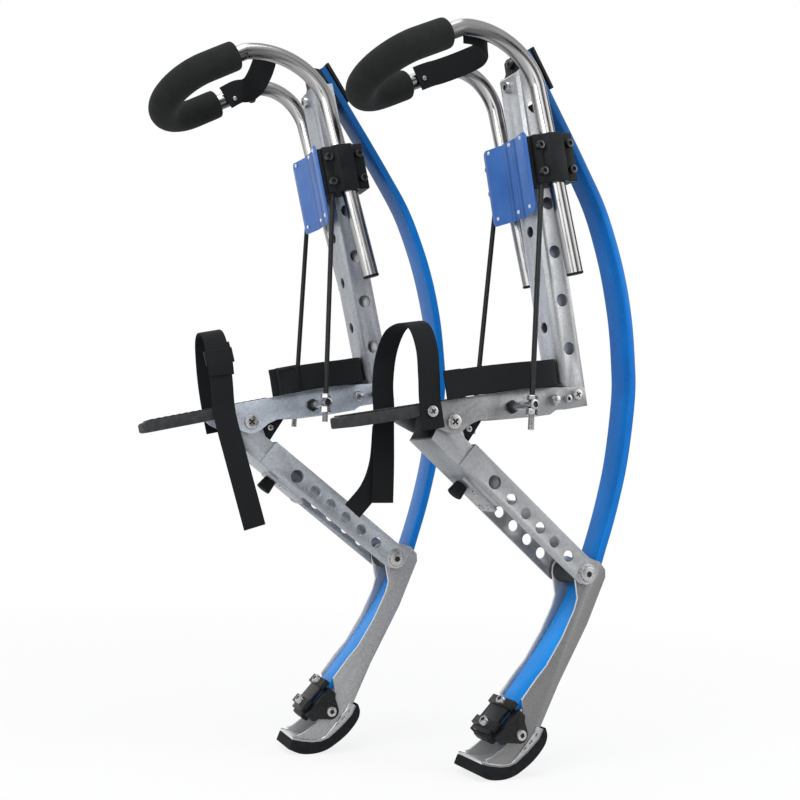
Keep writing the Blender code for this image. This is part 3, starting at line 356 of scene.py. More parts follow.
# The post's faces towards the toes get a painted highlight, 1.75 times as bright.
POST_ALUMINIUM = aluminium("post_aluminium", 1.20, 0.14, front=1.75)
print("aluminium finishes made")

# %% [markdown]
# The cheek plates of the hoof are a darker grey sheet whose sawn edges stay bright. Their inner faces get a lighter
# grey as painted light, for the shade inside the hoof. Edge faces are found by their normal, inner ones by a normal
# that points at the stilt's middle plane.

# %% Cheek plates
STILT_MIDDLE = 0.102


def cheek_plate(name, gain, inner):
    """Grey sheet with bright edges; inner is the lighter grey painted on the faces inside the hoof, as painted light.
    """
    f = Finish(name, (0.25, 0.25, 0.25), 0.75, 0.42)
    fine = f.noise(1300.0, 1.0, f.stretched((1.0, 1.0, 0.35)))
    tones = [(gain * v, gain * v, gain * v * 1.012) for v in (0.165, 0.27)]
    face = f.ramp(fine, list(zip((0.28, 0.72), tones)))
    across, y = f.along("Normal", SIDEWAYS), f.along("Object", SIDEWAYS)
    off = f.math("SUBTRACT", y, f.math("MULTIPLY", f.math("SIGN", y), STILT_MIDDLE))
    inward = f.math("LESS_THAN", f.math("MULTIPLY", off, across), 0.0)
    # Faces that look into the hoof take the inner grey: painted light in the hoof's shade.
    sheet = f.mix(inward, face, (inner, inner, inner * 1.01))
    edge = f.remap(f.math("ABSOLUTE", across), 1.0, 0.0, 0.45, 0.90)
    f.colour(f.mix(edge, sheet, (0.74, 0.75, 0.76)))
    f.rough(f.remap(f.noise(160.0, 3.0), 0.34, 0.50))
    f.bump(fine, 0.12, 0.0003)
    return f.mat


CHEEK_GREY = cheek_plate("grey_cheek_plate", 1.06, 0.60)
# The right stilt's cheek copy differs only in being brighter: painted light.
LIT_CHEEK = cheek_plate("lit_cheek_plate", 1.70, 0.60)
print("cheek plate finishes made")

# %% [markdown]
# The chromed tube. Its grey follows the direction that the surface faces: a light side, a dark side, and darker
# undersides in the bends. This is a painted reflection, like that of a room with one bright wall. Plain chrome would
# need that room.

# %% Chrome
CHROME_SIDE = (-0.905, 0.425, 0.0)


def chromed_tube():
    f = Finish("chromed_tube", (0.48, 0.48, 0.48), 1.0, 0.21)

    def facing(direction, stops):
        """Greys by the normal's share along a direction, from -1 to 1."""
        share = f.remap(f.along("Normal", direction), 0.0, 1.0, -1.0, 1.0)
        return f.ramp(share, [((s + 1.0) / 2.0, grey) for s, grey in stops])

    haze = f.noise(45.0, 4.0)
    # Both sets of greys below are a painted reflection, fixed to the direction each face looks.
    sides = facing(CHROME_SIDE, [(-1.0, 0.34), (-0.68, 0.42), (-0.50, 0.80), (-0.10, 0.92), (0.06, 0.85),
                                 (0.16, 0.32), (0.60, 0.25), (0.85, 0.30), (1.0, 0.45)])
    bends = facing(UPWARDS, [(-1.0, 0.34), (-0.50, 0.45), (-0.25, 1.0), (0.30, 1.0), (0.65, 0.78), (1.0, 0.75)])
    f.colour(f.times(f.times(sides, bends), f.ramp(haze, [(0.30, (0.92, 0.92, 0.91)), (0.70, 1.0)])))
    f.rough(f.remap(haze, 0.17, 0.26))
    f.bump(f.noise(700.0, 2.0, f.stretched((1.0, 1.0, 0.12))), 0.05, 0.0002)
    return f.mat


CHROME = chromed_tube()
print("chrome made")

# %% [markdown]
# Steel parts differ mostly in their grain: zinc is spotted, black steel has scale, the rims are brushed. One
# function makes such finishes from a pattern for the tone, one for the dullness and one for the relief, where a
# finish has them.

# %% How a grained finish is made
def grained(name, base, metal, rough, tone, stops, dull=None, relief=None, sockets=None):
    """tone: (scale, detail); dull: (low, high, scale, detail); relief: (strength, depth, scale, detail).
    A scale left out repeats the tone's pattern, and a relief of detail None has round cells."""
    f = Finish(name, base, metal, rough, sockets)
    made = {}

    def pattern(*key):
        key = key or tone
        if key not in made:
            made[key] = f.cells(key[0]) if key[1] is None else f.noise(*key)
        return made[key]

    f.colour(f.ramp(pattern(), stops))
    if dull:
        f.rough(f.remap(pattern(*dull[2:]), *dull[:2]))
    if relief:
        f.bump(pattern(*relief[2:]), *relief[:2])
    return f.mat


print("grain tool ready")

# %% Steel finishes
ZINC = grained("zinc_plated", (0.60, 0.60, 0.60), 1.0, 0.26, (420.0, 3.0),
               [(0.30, (0.34, 0.335, 0.33)), (0.62, (0.54, 0.54, 0.55))], (0.20, 0.40), (0.10, 0.0002))
RIVET_BRIGHT = grained("polished_rivet", (0.85, 0.85, 0.87), 0.55, 0.30, (700.0, 2.0),
                       [(0.30, (0.72, 0.72, 0.75)), (0.70, (0.92, 0.92, 0.94))])
BLACK_STEEL = grained("blackened_steel", (0.010, 0.010, 0.011), 0.25, 0.46, (260.0, 4.0),
                      [(0.35, (0.006, 0.006, 0.007)), (0.66, (0.014, 0.015, 0.016)), (0.80, 0.045)],
                      (0.32, 0.55), (0.15, 0.0003), {SPECULAR: 0.30})
BLACK_OXIDE = grained("black_oxide", (0.13, 0.13, 0.135), 0.9, 0.34, (380.0, 3.0),
                      [(0.34, (0.045, 0.045, 0.048)), (0.62, (0.085, 0.085, 0.09)), (0.78, (0.22, 0.22, 0.225))],
                      (0.20, 0.36))
# Near black for the inside of screw recesses: painted shade.
SOCKET_SHADE = grained("socket_shadow", (0.010, 0.010, 0.010), 0.2, 0.6, (900.0, 2.0), [(0.3, 0.006), (0.7, 0.016)])

f = Finish("polished_rim", (0.50, 0.51, 0.53), 0.9, 0.28)
brushed = f.noise(900.0, 2.0, f.stretched((0.15, 1.0, 1.0)))
f.colour(f.ramp(brushed, [(0.30, (0.32, 0.33, 0.345)), (0.70, (0.47, 0.48, 0.495))]))
f.rough(f.remap(brushed, 0.18, 0.30))
RIM = f.mat
print("steel finishes made")

# %% [markdown]
# Black mouldings, rubber and foam are nearly alike in colour, so gloss and grain have to tell them apart: the clamp
# has a fine spark-eroded surface, foam has small closed cells, and rubber is dusty and soft.

# %% Mouldings, rubber and foam
BLACK_MOULDING = grained("black_moulding", (0.008, 0.009, 0.010), 0.0, 0.48, (60.0, 3.0),
                         [(0.30, (0.005, 0.006, 0.007)), (0.75, (0.011, 0.013, 0.014))],
                         (0.40, 0.58, 1100.0, 2.0), (0.20, 0.0004, 1100.0, 2.0), {SPECULAR: 0.17})
RUBBER = grained("tread_rubber", (0.012, 0.014, 0.015), 0.0, 0.72, (140.0, 5.0),
                 [(0.30, (0.006, 0.008, 0.009)), (0.72, (0.016, 0.018, 0.020))],
                 (0.62, 0.85), (0.25, 0.0005, 800.0, 3.0), {SPECULAR: 0.11})
BOARD_RUBBER = grained("board_rubber", (0.030, 0.031, 0.032), 0.0, 0.70, (90.0, 4.0),
                       [(0.30, (0.024, 0.026, 0.027)), (0.72, (0.042, 0.044, 0.045))],
                       (0.58, 0.80, 240.0, 2.0), (0.45, 0.0008, 320.0, None), {SPECULAR: 0.20})
FOAM = grained("black_foam", (0.016, 0.018, 0.018), 0.0, 0.92, (70.0, 3.0),
               [(0.30, (0.0135, 0.0155, 0.015)), (0.72, (0.0175, 0.0198, 0.0193))], None,
               (0.30, 0.0003, 1500.0, None), {SPECULAR: 0.12, SHEEN: 0.04, SHEEN_ROUGH: 0.5})
print("black finishes made")

# %% [markdown]
# The blade is a glass-fibre leaf under clear blue lacquer. Its fibres run lengthwise, so the streaks read the
# blade's own UV map, which is in metres: across the blade first, along it second.

# %% Blue lacquer of the blade
f = Finish("blue_blade", (0.014, 0.15, 0.50), 0.0, 0.24, {SPECULAR: 0.11, COAT: 0.06, COAT_ROUGH: 0.08})
lengthwise = f.node("ShaderNodeSeparateXYZ", {0: f.coords["UV"]}).outputs["Y"]
# The blue is darker towards the top of the blade. The step up at 0.78 is painted light for the stretch that runs in
# shade between the hoof's cheek plates.
lacquer = f.ramp(f.remap(lengthwise, 0.0, 1.0, 0.0, 1.05),
                 [(0.0, (0.014, 0.100, 0.28)), (0.13, (0.010, 0.120, 0.38)), (0.27, (0.007, 0.190, 0.61)),
                  (0.45, (0.004, 0.165, 0.55)), (0.71, (0.005, 0.200, 0.63)), (0.78, (0.012, 0.330, 0.92)),
                  (0.85, (0.009, 0.280, 0.81)), (1.0, (0.010, 0.325, 0.92))])
streak = f.noise(60.0, 4.0, f.stretched((14.0, 0.5, 1.0), "UV"))
cloud = f.noise(9.0, 2.0, f.stretched((1.6, 1.0, 1.0), "UV"))
lacquer = f.times(lacquer, f.ramp(cloud, [(0.34, (0.82, 0.84, 0.87)), (0.66, (1.08, 1.07, 1.06))]))
f.colour(f.times(lacquer, f.ramp(streak, [(0.28, (0.78, 0.82, 0.86)), (0.70, 1.0)])))
f.rough(f.remap(f.noise(120.0, 3.0), 0.18, 0.30))
f.bump(streak, 0.06, 0.0004)
BLUE_BLADE = f.mat
print("blue lacquer made")

# %% [markdown]
# The calf plate is painted sheet, pressed into two ridges. The creases beside them get painted shade: the colour
# darkens at a set distance from each ridge, worked out from Object coordinates.

# %% Painted calf sheet
RIDGE_Y, CREASE_SHADE_AT = 0.0105, 0.0040


def painted_sheet(tag):
    """Blue paint with painted shade in the creases beside the pressed ridges."""
    f = Finish("blue_painted_sheet_" + tag, (0.050, 0.141, 0.462), 0.0, 0.36,
               {SPECULAR: 0.25, COAT: 0.08, COAT_ROUGH: 0.15})
    mottle = f.ramp(f.noise(30.0, 3.0), [(0.30, (0.042, 0.138, 0.44)), (0.70, (0.058, 0.180, 0.52))])
    across = PLACE[tag].to_3x3() @ Vector(SIDEWAYS)
    off = f.along("Object", across)
    # The colour darkens at a set distance from each ridge line: painted shade in the creases.
    for centre in (across.dot(PLACE[tag].translation), RIDGE_Y, CREASE_SHADE_AT):
        off = f.math("ABSOLUTE", f.math("SUBTRACT", off, centre))
    f.colour(f.times(mottle, f.remap(off, 0.62, 1.0, 0.0003, 0.0030)))
    f.rough(f.remap(f.noise(500.0, 2.0), 0.30, 0.44))
    f.bump(f.noise(650.0, 2.0), 0.12, 0.0003)
    return f.mat


BLUE_SHEET, BLUE_SHEET_RIGHT = [painted_sheet(tag) for tag in TAGS]
print("painted sheets made")

# %% [markdown]
# Webbing is woven: two sets of fine bands cross at a slant on the strap's UV map, and the cloth is a little higher and
# paler where a thread lies on top.

# %% Woven webbing
f = Finish("black_webbing", (0.014, 0.015, 0.016), 0.0, 0.80, {SPECULAR: 0.10, SHEEN: 0.03, SHEEN_ROUGH: 0.45})
turned = f.stretched((1.0, 1.0, 1.0), "UV", (0.0, 0.0, radians(35.0)))
weft, warp = [f.node("ShaderNodeTexWave", {"Scale": per_metre, "Distortion": 0.0, "Vector": vector},
                     wave_type="BANDS", bands_direction="X").outputs["Color"]
              for vector, per_metre in ((turned, 95.0), (f.coords["UV"], 130.0))]
weave = f.mix(1.0, weft, warp, "SCREEN")
f.colour(f.mix(weave, (0.007, 0.008, 0.009), (0.013, 0.0145, 0.0155)))
f.bump(weave, 0.40, 0.0006)
WEBBING = f.mat
print("webbing made")

# %% [markdown]
# The solids come as loose triangles with knife-sharp edges. A stack of live modifiers welds them, joins flat
# triangles into whole faces and rounds the edges a little, which is what makes metal catch light. A small
# geometry group then shades the result smooth except across real corners.

# %% Smooth below an angle
REAL_CORNER = radians(38.0)
group = bpy.data.node_groups.new("smooth_below_angle", "GeometryNodeTree")
for way in ("INPUT", "OUTPUT"):
    group.interface.new_socket("Geometry", in_out=way, socket_type="NodeSocketGeometry")
shape = add_node(group, "NodeGroupInput").outputs[0]
shape = add_node(group, "GeometryNodeRemoveAttribute", {0: shape, "Name": "custom_normal"}).outputs[0]
shape = add_node(group, "GeometryNodeSetShadeSmooth", {"Geometry": shape}, domain="FACE").outputs[0]
angle = add_node(group, "GeometryNodeInputMeshEdgeAngle").outputs["Unsigned Angle"]
corner = add_node(group, "FunctionNodeCompare", {"A": angle, "B": REAL_CORNER}, operation="GREATER_THAN").outputs[0]
shape = add_node(group, "GeometryNodeSetShadeSmooth",
                 {"Geometry": shape, "Selection": corner, "Shade Smooth": False}, domain="EDGE").outputs[0]
add_node(group, "NodeGroupOutput", {0: shape})
print("smoothing group made:", group.name)


# %% Soft edges for one solid
def modify(ob, name, kind, **settings):
    """Adds a modifier with its settings."""
    modifier = ob.modifiers.new(name, kind)
    for key, value in settings.items():
        setattr(modifier, key, value)


def round_edges(ob, name, width, segments, angle):
    """Adds a bevel on the edges that are sharper than an angle in degrees."""
    modify(ob, name, "BEVEL", width=width, segments=segments, limit_method="ANGLE", angle_limit=radians(angle))


def dress(node, mat, width):
    """Gives a solid its finish and its edges a width."""
    ob = nodes[node]
    ob.data.materials.clear()
    ob.data.materials.append(mat)
    modify(ob, "weld", "WELD", merge_threshold=0.00001)
    modify(ob, "whole_faces", "DECIMATE", decimate_type="DISSOLVE", angle_limit=radians(0.6))
    round_edges(ob, "eased_edges", width, 2, 40.0)
    modify(ob, "smooth", "NODES", node_group=group)


print("modifier tools ready")

# %% [markdown]
# One table says which finish each solid gets and how wide its rounded edges are. The right stilt swaps some of the
# finishes for its own.

# %% Which finish goes where
DRESS = {
    "side_plate_outer": (ALUMINIUM, 0.0007), "side_plate_inner": (ALUMINIUM, 0.0007),
    "foot_board": (BOARD_RUBBER, 0.0024), "post": (POST_ALUMINIUM, 0.0006),
    "clamp_saddle": (BLACK_MOULDING, 0.0010), "clamp_cap_outer": (BLACK_MOULDING, 0.0012),
    "clamp_cap_inner": (BLACK_MOULDING, 0.0012), "calf_plate": (BLUE_SHEET, 0.0006),
    "rod_barrel_outer": (RIM, 0.0006), "rod_barrel_inner": (RIM, 0.0006),
    "brace_rod_outer": (BLACK_STEEL, 0.0004), "brace_rod_inner": (BLACK_STEEL, 0.0004),
    "spring_holder": (BLACK_MOULDING, 0.0008), "spring_cap": (BLACK_MOULDING, 0.0008),
    "travel_stop": (RUBBER, 0.0012), "toe_axle": (ZINC, 0.0005), "strut_sleeve": (BRIGHT_ALUMINIUM, 0.0007),
    "strut_channel": (BRIGHT_ALUMINIUM, 0.0007), "bump_stop": (RUBBER, 0.0010), "ankle_axle": (ZINC, 0.0006),
    "hoof_arm": (CHEEK_GREY, 0.0006), "hoof_rubber": (RUBBER, 0.0015), "spring_yoke": (BLACK_STEEL, 0.0007),
    "yoke_clamp": (BLACK_STEEL, 0.0007),
}
# The right stilt's brighter metal finishes carry painted light.
RIGHT_FINISH = {ALUMINIUM: BLUISH_LIT_ALUMINIUM, BRIGHT_ALUMINIUM: SPARKLING_ALUMINIUM,
                POST_ALUMINIUM: SPARKLING_ALUMINIUM, CHEEK_GREY: LIT_CHEEK, BLUE_SHEET: BLUE_SHEET_RIGHT}
for kind, (mat, width) in DRESS.items():
    dress(kind + "_left", mat, width)
    dress(kind + "_right", RIGHT_FINISH.get(mat, mat), width)
print("solids dressed:", len(DRESS) * 2)

# %% [markdown]
# Long bent pieces, such as the tube, the foam and the straps, all start from Blender's grid primitive. One row
# of the grid goes to each station of a path, so the sheet is drawn along it like a hose or a ribbon, and the
# grid's UV map is rescaled to metres for the weave and the fibre pattern.

# %% Lines through points
STEPS = 8


def curve_through(pts, steps=STEPS):
    """Smooth line through points."""
    pts = [Vector(p) for p in pts]
    ext = [2 * pts[0] - pts[1]] + pts + [2 * pts[-1] - pts[-2]]
    out = []
    for i in range(1, len(ext) - 2):
        p0, p1, p2, p3 = ext[i - 1:i + 3]
        for k in range(steps):
            t = k / steps
            out.append(0.5 * (2 * p1 + (p2 - p0) * t + (2 * p0 - 5 * p1 + 4 * p2 - p3) * t * t
                              + (3 * p1 - p0 - 3 * p2 + p3) * t ** 3))
    out.append(pts[-1])
    return out


def between(stops, x):
    """Value at x on a broken line of (x, value) stops."""
    for (x0, a), (x1, b) in zip(stops, stops[1:]):
        if x <= x1:
            return a + (b - a) * max(0.0, (x - x0) / (x1 - x0))
    return stops[-1][1]


print("steps from point to point:", STEPS)


# %% Measuring along a line
def headings(path):
    """Unit direction of a path at each of its points."""
    n = len(path)
    return [(path[min(n - 1, i + 1)] - path[max(0, i - 1)]).normalized() for i in range(n)]


def lengths(points, start=0.0):
    """Distance along a line at each of its points."""
    out = [start]
    for a, b in zip(points, points[1:]):
        out.append(out[-1] + (b - a).length)
    return out


print("measuring tools ready")


# %% A grid drawn along a path
def pick(ob=None):
    """Leaves edit mode and selects one object, or none."""
    if bpy.context.object and bpy.context.object.mode != "OBJECT":
        bpy.ops.object.mode_set(mode="OBJECT")
    bpy.ops.object.select_all(action="DESELECT")
    if ob:
        bpy.context.view_layer.objects.active = ob
        ob.select_set(True)


def draw_grid(name, rows, start=0.0):
    """Grid primitive with each row laid on one station; UV in metres."""
    n, m = len(rows), len(rows[0])
    pick()
    bpy.ops.mesh.primitive_grid_add(x_subdivisions=m - 1, y_subdivisions=n - 1, size=1.0, calc_uvs=True)
    ob = bpy.context.object
    ob.name = ob.data.name = name
    for i, row in enumerate(rows):
        for j, p in enumerate(row):
            ob.data.vertices[i * m + j].co = p
    across = lengths(rows[n // 2])
    along = lengths([sum(row, Vector()) / m for row in rows], start)
    uv = ob.data.uv_layers.active.data
    for loop in ob.data.loops:
        i, j = divmod(loop.vertex_index, m)
        uv[loop.index].uv = (across[j], along[i])
    return ob


print("grid tool ready")

# %% [markdown]
# A drawn sheet becomes a closed piece in edit mode: points that lie on each other are merged, open ends are filled
# and all faces are turned outwards. It is then shaded smooth and gets its finish.

# %% Closing a mesh
def close_up(ob):
    """Merges seam points, fills open ends and turns all faces outwards."""
    pick(ob)
    bpy.context.tool_settings.mesh_select_mode = (True, False, False)
    bpy.ops.object.mode_set(mode="EDIT")
    bpy.ops.mesh.select_all(action="SELECT")
    bpy.ops.mesh.remove_doubles(threshold=0.000002)
    bpy.ops.mesh.select_all(action="DESELECT")
    bpy.ops.mesh.select_non_manifold(extend=False, use_wire=False, use_boundary=True,
                                     use_multi_face=False, use_non_contiguous=False, use_verts=False)
    bpy.ops.mesh.fill_holes(sides=0)
    bpy.ops.mesh.select_all(action="SELECT")
    bpy.ops.mesh.normals_make_consistent(inside=False)
    bpy.ops.object.mode_set(mode="OBJECT")
    return ob


print("closing tool ready")


# %% Finishing a mesh
def apply_all(ob):
    """Applies every modifier of a piece."""
    pick(ob)
    for modifier in list(ob.modifiers):
        bpy.ops.object.modifier_apply(modifier=modifier.name)


def shade(ob, mat, angle=40.0):
    """Shades smooth below an angle and gives the finish."""
    pick(ob)
    bpy.ops.object.shade_smooth_by_angle(angle=radians(angle))
    ob.data.materials.clear()
    ob.data.materials.append(mat)
    return ob


def drawn(name, rows, mat, angle=40.0, start=0.0):
    """A closed piece drawn from rows, shaded and finished."""
    return shade(close_up(draw_grid(name, rows, start)), mat, angle)


print("finishing tools ready")

# %% [markdown]
# Round pieces need a ring across the path at each station. A side direction is carried from ring to ring without
# turning, because rings that turned would twist the skin of the tube.

# %% Rings along a path
def ring(centre, heading, side, radius, n):
    """Closed row of points round a path; the last repeats the first."""
    up = heading.cross(side).normalized()
    side = up.cross(heading).normalized()
    return [centre + side * (radius * cos(2 * pi * k / n)) + up * (radius * sin(2 * pi * k / n))
            for k in range(n + 1)]


def stations(path):
    """Point, heading and a side vector, carried along without twisting, for each place on a path."""
    out, side = [], Vector(SIDEWAYS)
    for p, h in zip(path, headings(path)):
        side = (side - h * side.dot(h)).normalized()
        out.append((p, h, side))
    return out


print("ring tools ready")

# %% [markdown]
# The knee bar is one chromed tube: two straight legs, two bends and a half circle in front of the shin. It
# could be a curve with a round bevel, but rows of a grid keep the same tools for the foam that sits on it. The foam
# is a moulded tube: its skin, its drawn-in ends and its bore are one closed sheet.

# %% Line of the knee bar
TUBE_R, TUBE_Y = 0.011, 0.055
RAKE, DROP, TWIST = radians(3.5), radians(17.0), 0.13
LEG_X, LEG_Z = -0.2046, (0.168, 0.20, 0.235, 0.270, 0.3075, 0.345, 0.385)
BEND_R, BEND_Z, BEND_STEPS, LOOP_STEPS = 0.079, 0.4045, 21, 36
TWIST_FROM = 6
FOAM_FROM, FOAM_STRAIGHT = {"left": -0.0646, "right": -0.0731}, 0.0426


def knee_line(tag):
    """Centre line of the bar; also the number of points before the foam."""
    foam = FOAM_FROM[tag]

    def leg_x(z):
        return LEG_X + (z - LEG_Z[0]) * tan(RAKE)

    bend_x = leg_x(BEND_Z) + BEND_R / cos(RAKE) - 0.0003
    side = [(leg_x(z), z, 0.0) for z in LEG_Z]
    first, last = pi - RAKE, pi / 2 - DROP
    for i in range(1, BEND_STEPS + 1):
        a = first + (last - first) * i / BEND_STEPS
        twist = max(0.0, (i - TWIST_FROM) / (BEND_STEPS - TWIST_FROM))
        side.append((bend_x + BEND_R * cos(a), BEND_Z + BEND_R * sin(a), twist))
    x0, z0 = side[-1][:2]
    slope = [x0 + (foam - x0) * i / 6 for i in range(1, 7)]
    start = len(side) + len(slope) - 1
    slope += [foam + FOAM_STRAIGHT * i / 5 for i in range(1, 6)]
    side += [(x, z0 - (x - x0) * tan(DROP), 1.0) for x in slope]
    lift = TWIST * 2.0 * TUBE_Y
    path = [Vector((x, TUBE_Y, z + lift * t * t)) for x, z, t in side]
    xl, zl = side[-1][:2]
    for i in range(1, LOOP_STEPS):
        a = pi / 2 - pi * i / LOOP_STEPS
        x, y = xl + TUBE_Y * cos(a), TUBE_Y * sin(a)
        path.append(Vector((x, y, zl - (x - xl) * tan(DROP) + TWIST * 2.0 * y)))
    path += [Vector((x, -TUBE_Y, z - lift * t * t)) for x, z, t in reversed(side)]
    return path, start


print("length of the bar's line: %.3f m" % lengths(knee_line("left")[0])[-1])

# %% Knee bar and its foam
TUBE_WALL, TUBE_BORE, TUBE_SIDES = 0.0016, 0.05, 24
FOAM_R, FOAM_SIDES = 0.0200, 32
FOAM_END = [(0.0, TUBE_R + 0.0004), (0.0, 0.0170), (0.0003, 0.0184), (0.0012, 0.0193), (0.0030, 0.0198)]


def hose(path, radius, ends, n):
    """Rings along a path; ends are (depth, radius) of the rings that close each end."""
    (p0, h0, s0), (p1, h1, s1) = path[0], path[-1]
    rows = [ring(p0 + h0 * d, h0, s0, r, n) for d, r in ends]
    rows += [ring(p, h, s, radius, n) for p, h, s in path[1:-1]]
    return rows + [ring(p1 - h1 * d, h1, s1, r, n) for d, r in reversed(ends)]


def knee_bar(tag):
    inner = TUBE_R - TUBE_WALL
    rows = hose(stations(knee_line(tag)[0]), TUBE_R, [(TUBE_BORE, inner), (0.0, inner), (0.0, TUBE_R)], TUBE_SIDES)
    ob = settle(drawn("knee_tube_" + tag, rows, CHROME), tag, "knee_" + tag)
    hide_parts("knee_bar_" + tag)


def knee_foam(tag):
    path, start = knee_line(tag)
    part = stations(path[start:len(path) - start - 1])
    rows = hose(part, FOAM_R, FOAM_END, FOAM_SIDES)
    rows += [ring(p, h, s, FOAM_END[0][1], FOAM_SIDES) for p, h, s in part[-2::-4]]
    rows.append(rows[0])
    ob = settle(drawn("knee_pad_" + tag, rows, FOAM, 50.0), tag, "knee_" + tag)
    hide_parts("knee_foam_" + tag)


for tag in TAGS:
    knee_bar(tag)
    knee_foam(tag)
print("knee bars and foam made")

# %% [markdown]
# The blade bows from the top of the post to the yoke at the hoof. The real one bends as the stilt is pressed,
# so it is drawn in three lengths that meet end to end. The ends of each length lie on two bodies: frame and
# strut, strut and hoof, hoof and yoke.

# %% Line and section of the blade
SPRING = [(-0.2080, 0.4760), (-0.2190, 0.4490), (-0.2305, 0.4200), (-0.2415, 0.3920),
          (-0.2550, 0.3580), (-0.2722, 0.3130), (-0.2900, 0.2620), (-0.2998, 0.2130),
          (-0.3056, 0.1600), (-0.3062, 0.1010), (-0.3012, 0.0450), (-0.2925, -0.0060),
          (-0.2672, -0.0840), (-0.2412, -0.1425), (-0.2105, -0.1990), (-0.1700, -0.2625),
          (-0.1160, -0.3190), (-0.0555, -0.3685)]
GRIP, END_ALONG, END_FRONT = SPRING[-1], (0.819, -0.5736), (0.5736, 0.819)
HALF_WIDTHS = [(-0.42, 0.0200), (-0.365, 0.0202), (-0.335, 0.0226), (-0.25, 0.0226), (-0.20, 0.0207),
               (-0.02, 0.0220), (0.14, 0.0220), (0.30, 0.0190), (0.48, 0.0175)]
CORNER_STEPS = 4


def grip_point(s, n=0.0, y=0.0):
    """Point of the blade's straight end: s along it, n out of its front."""
    return Vector((GRIP[0] + s * END_ALONG[0] + n * END_FRONT[0], y,
                   GRIP[1] + s * END_ALONG[1] + n * END_FRONT[1]))


def blade_section(half, thick, ease):
    """Rounded rectangle, closed, starting on the front face."""
    out = []
    for cy, cn, first in ((half - ease, thick - ease, 0), (-half + ease, thick - ease, 90),
                          (-half + ease, -thick + ease, 180), (half - ease, -thick + ease, 270)):
        turns = [radians(first + 90 * k / CORNER_STEPS) for k in range(CORNER_STEPS + 1)]
        out += [(cy + ease * cos(a), cn + ease * sin(a)) for a in turns]
    return out + out[:1]


print("points that give the blade's line:", len(SPRING))

# %% Spring blade
HALF_THICK, BLADE_EASE = 0.00525, 0.0018
ANKLE_ROW, GRIP_ROW = 14 * STEPS + 3, 17 * STEPS


def blade(tag):
    line = [Vector((x, 0.0, z)) for x, z in SPRING] + [grip_point(s) for s in (0.022, 0.044, 0.061)]
    path = curve_through(line)
    run = lengths(path)
    rows = []
    for p, h in zip(path, headings(path)):
        front = Vector((-h.z, 0.0, h.x))
        section = blade_section(between(HALF_WIDTHS, p.z), HALF_THICK, BLADE_EASE)
        rows.append([p + Vector((0, y, 0)) + front * d for y, d in section])
    strut, hoof, yoke = "strut_" + tag, "hoof_" + tag, "yoke_" + tag
    spans = (("upper", 0, ANKLE_ROW, "frames", strut, line[4], line[13]),
             ("middle", ANKLE_ROW, GRIP_ROW, strut, hoof, path[ANKLE_ROW + 1], path[GRIP_ROW - 1]),
             ("tail", GRIP_ROW, len(rows) - 1, hoof, yoke, grip_point(0.002), grip_point(0.012)))
    for part, a, b, one, two, p, q in spans:
        ob = drawn("blade_%s_%s" % (part, tag), rows[a:b + 1], BLUE_BLADE, 50.0, run[a])
        ob.data.transform(PLACE[tag])
        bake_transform(ob)
        if part == "upper":
            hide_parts("leaf_spring_" + tag)
    return run[-1]


for tag in TAGS:
    length = blade(tag)
print("blade length along its curve: %.3f m" % length)

# %% [markdown]
# The straps are flat woven webbing. They could be cloth that is left to fall, but a strap held at both ends keeps the
# line that the photograph shows, so its path is given. A single sheet of grid follows the path with its width held in
# a chosen direction, Solidify gives it two millimetres, and the weave comes from its UV map.

# %% How a strap is made
STRAP_W, STRAP_T = 0.030, 0.0022


def strap(name, tag, body, path, wides, width, thick=STRAP_T):
    """Ribbon of webbing along a path; wides are its width directions, or one for all of it."""
    if isinstance(wides, tuple):
        wides = [Vector(wides)] * len(path)
    rows = []
    for p, w, h in zip(path, wides, headings(path)):
        w = (w - h * w.dot(h)).normalized()
        rows.append([p + w * (width * (k / 8 - 0.5)) for k in range(9)])
    ob = draw_grid(name + "_" + tag, rows)
    modify(ob, "wall", "SOLIDIFY", thickness=thick, offset=0.0)
    round_edges(ob, "edge", thick * 0.35, 2, 60.0)
    apply_all(ob)
    return settle(shade(ob, WEBBING, 50.0), tag, body)


print("strap tool ready")

# %% [markdown]
# The instep strap arches over the foot from plate to plate and its tail hangs down on the inner side. On the left
# stilt a second, loose tail lies over the first.

# %% Instep straps
INSTEP_Y, TAIL_Y = 0.0444, 0.0450
OVER_INSTEP = [(0.0290, -INSTEP_Y, -0.0050), (0.0290, -INSTEP_Y, 0.0300), (0.0270, -0.0480, 0.0620),
               (0.0240, -0.0470, 0.0950), (0.0225, -0.0330, 0.1230), (0.0230, -0.0050, 0.1320)]
INSTEP_DOWN = {
    "left": [(0.0290, 0.0250, 0.1250), (0.0370, 0.0450, 0.0980), (0.0460, 0.0490, 0.0620), (0.0520, TAIL_Y, 0.0280),
             (0.0560, TAIL_Y, 0.0050), (0.0640, TAIL_Y + 0.0004, -0.0450), (0.0720, TAIL_Y + 0.0024, -0.0920)],
    "right": [(0.0240, 0.0250, 0.1240), (0.0265, 0.0450, 0.0980), (0.0300, 0.0490, 0.0620), (0.0330, TAIL_Y, 0.0280),
              (0.0335, TAIL_Y + 0.0010, 0.0050), (0.0315, TAIL_Y + 0.0056, -0.0400),
              (0.0285, TAIL_Y + 0.0074, -0.0880), (0.0250, TAIL_Y + 0.0074, -0.1380)],
}
LOOSE_TAIL = [(0.0570, TAIL_Y + 0.0024, 0.0060), (0.0680, TAIL_Y + 0.0050, -0.0400),
              (0.0850, TAIL_Y + 0.0085, -0.0720), (0.1120, TAIL_Y + 0.0115, -0.0960)]


def to_medial(tag, points):
    """Smooth line through points whose y counts towards the other foot."""
    return curve_through([(x, MEDIAL[tag] * y, z) for x, y, z in points])


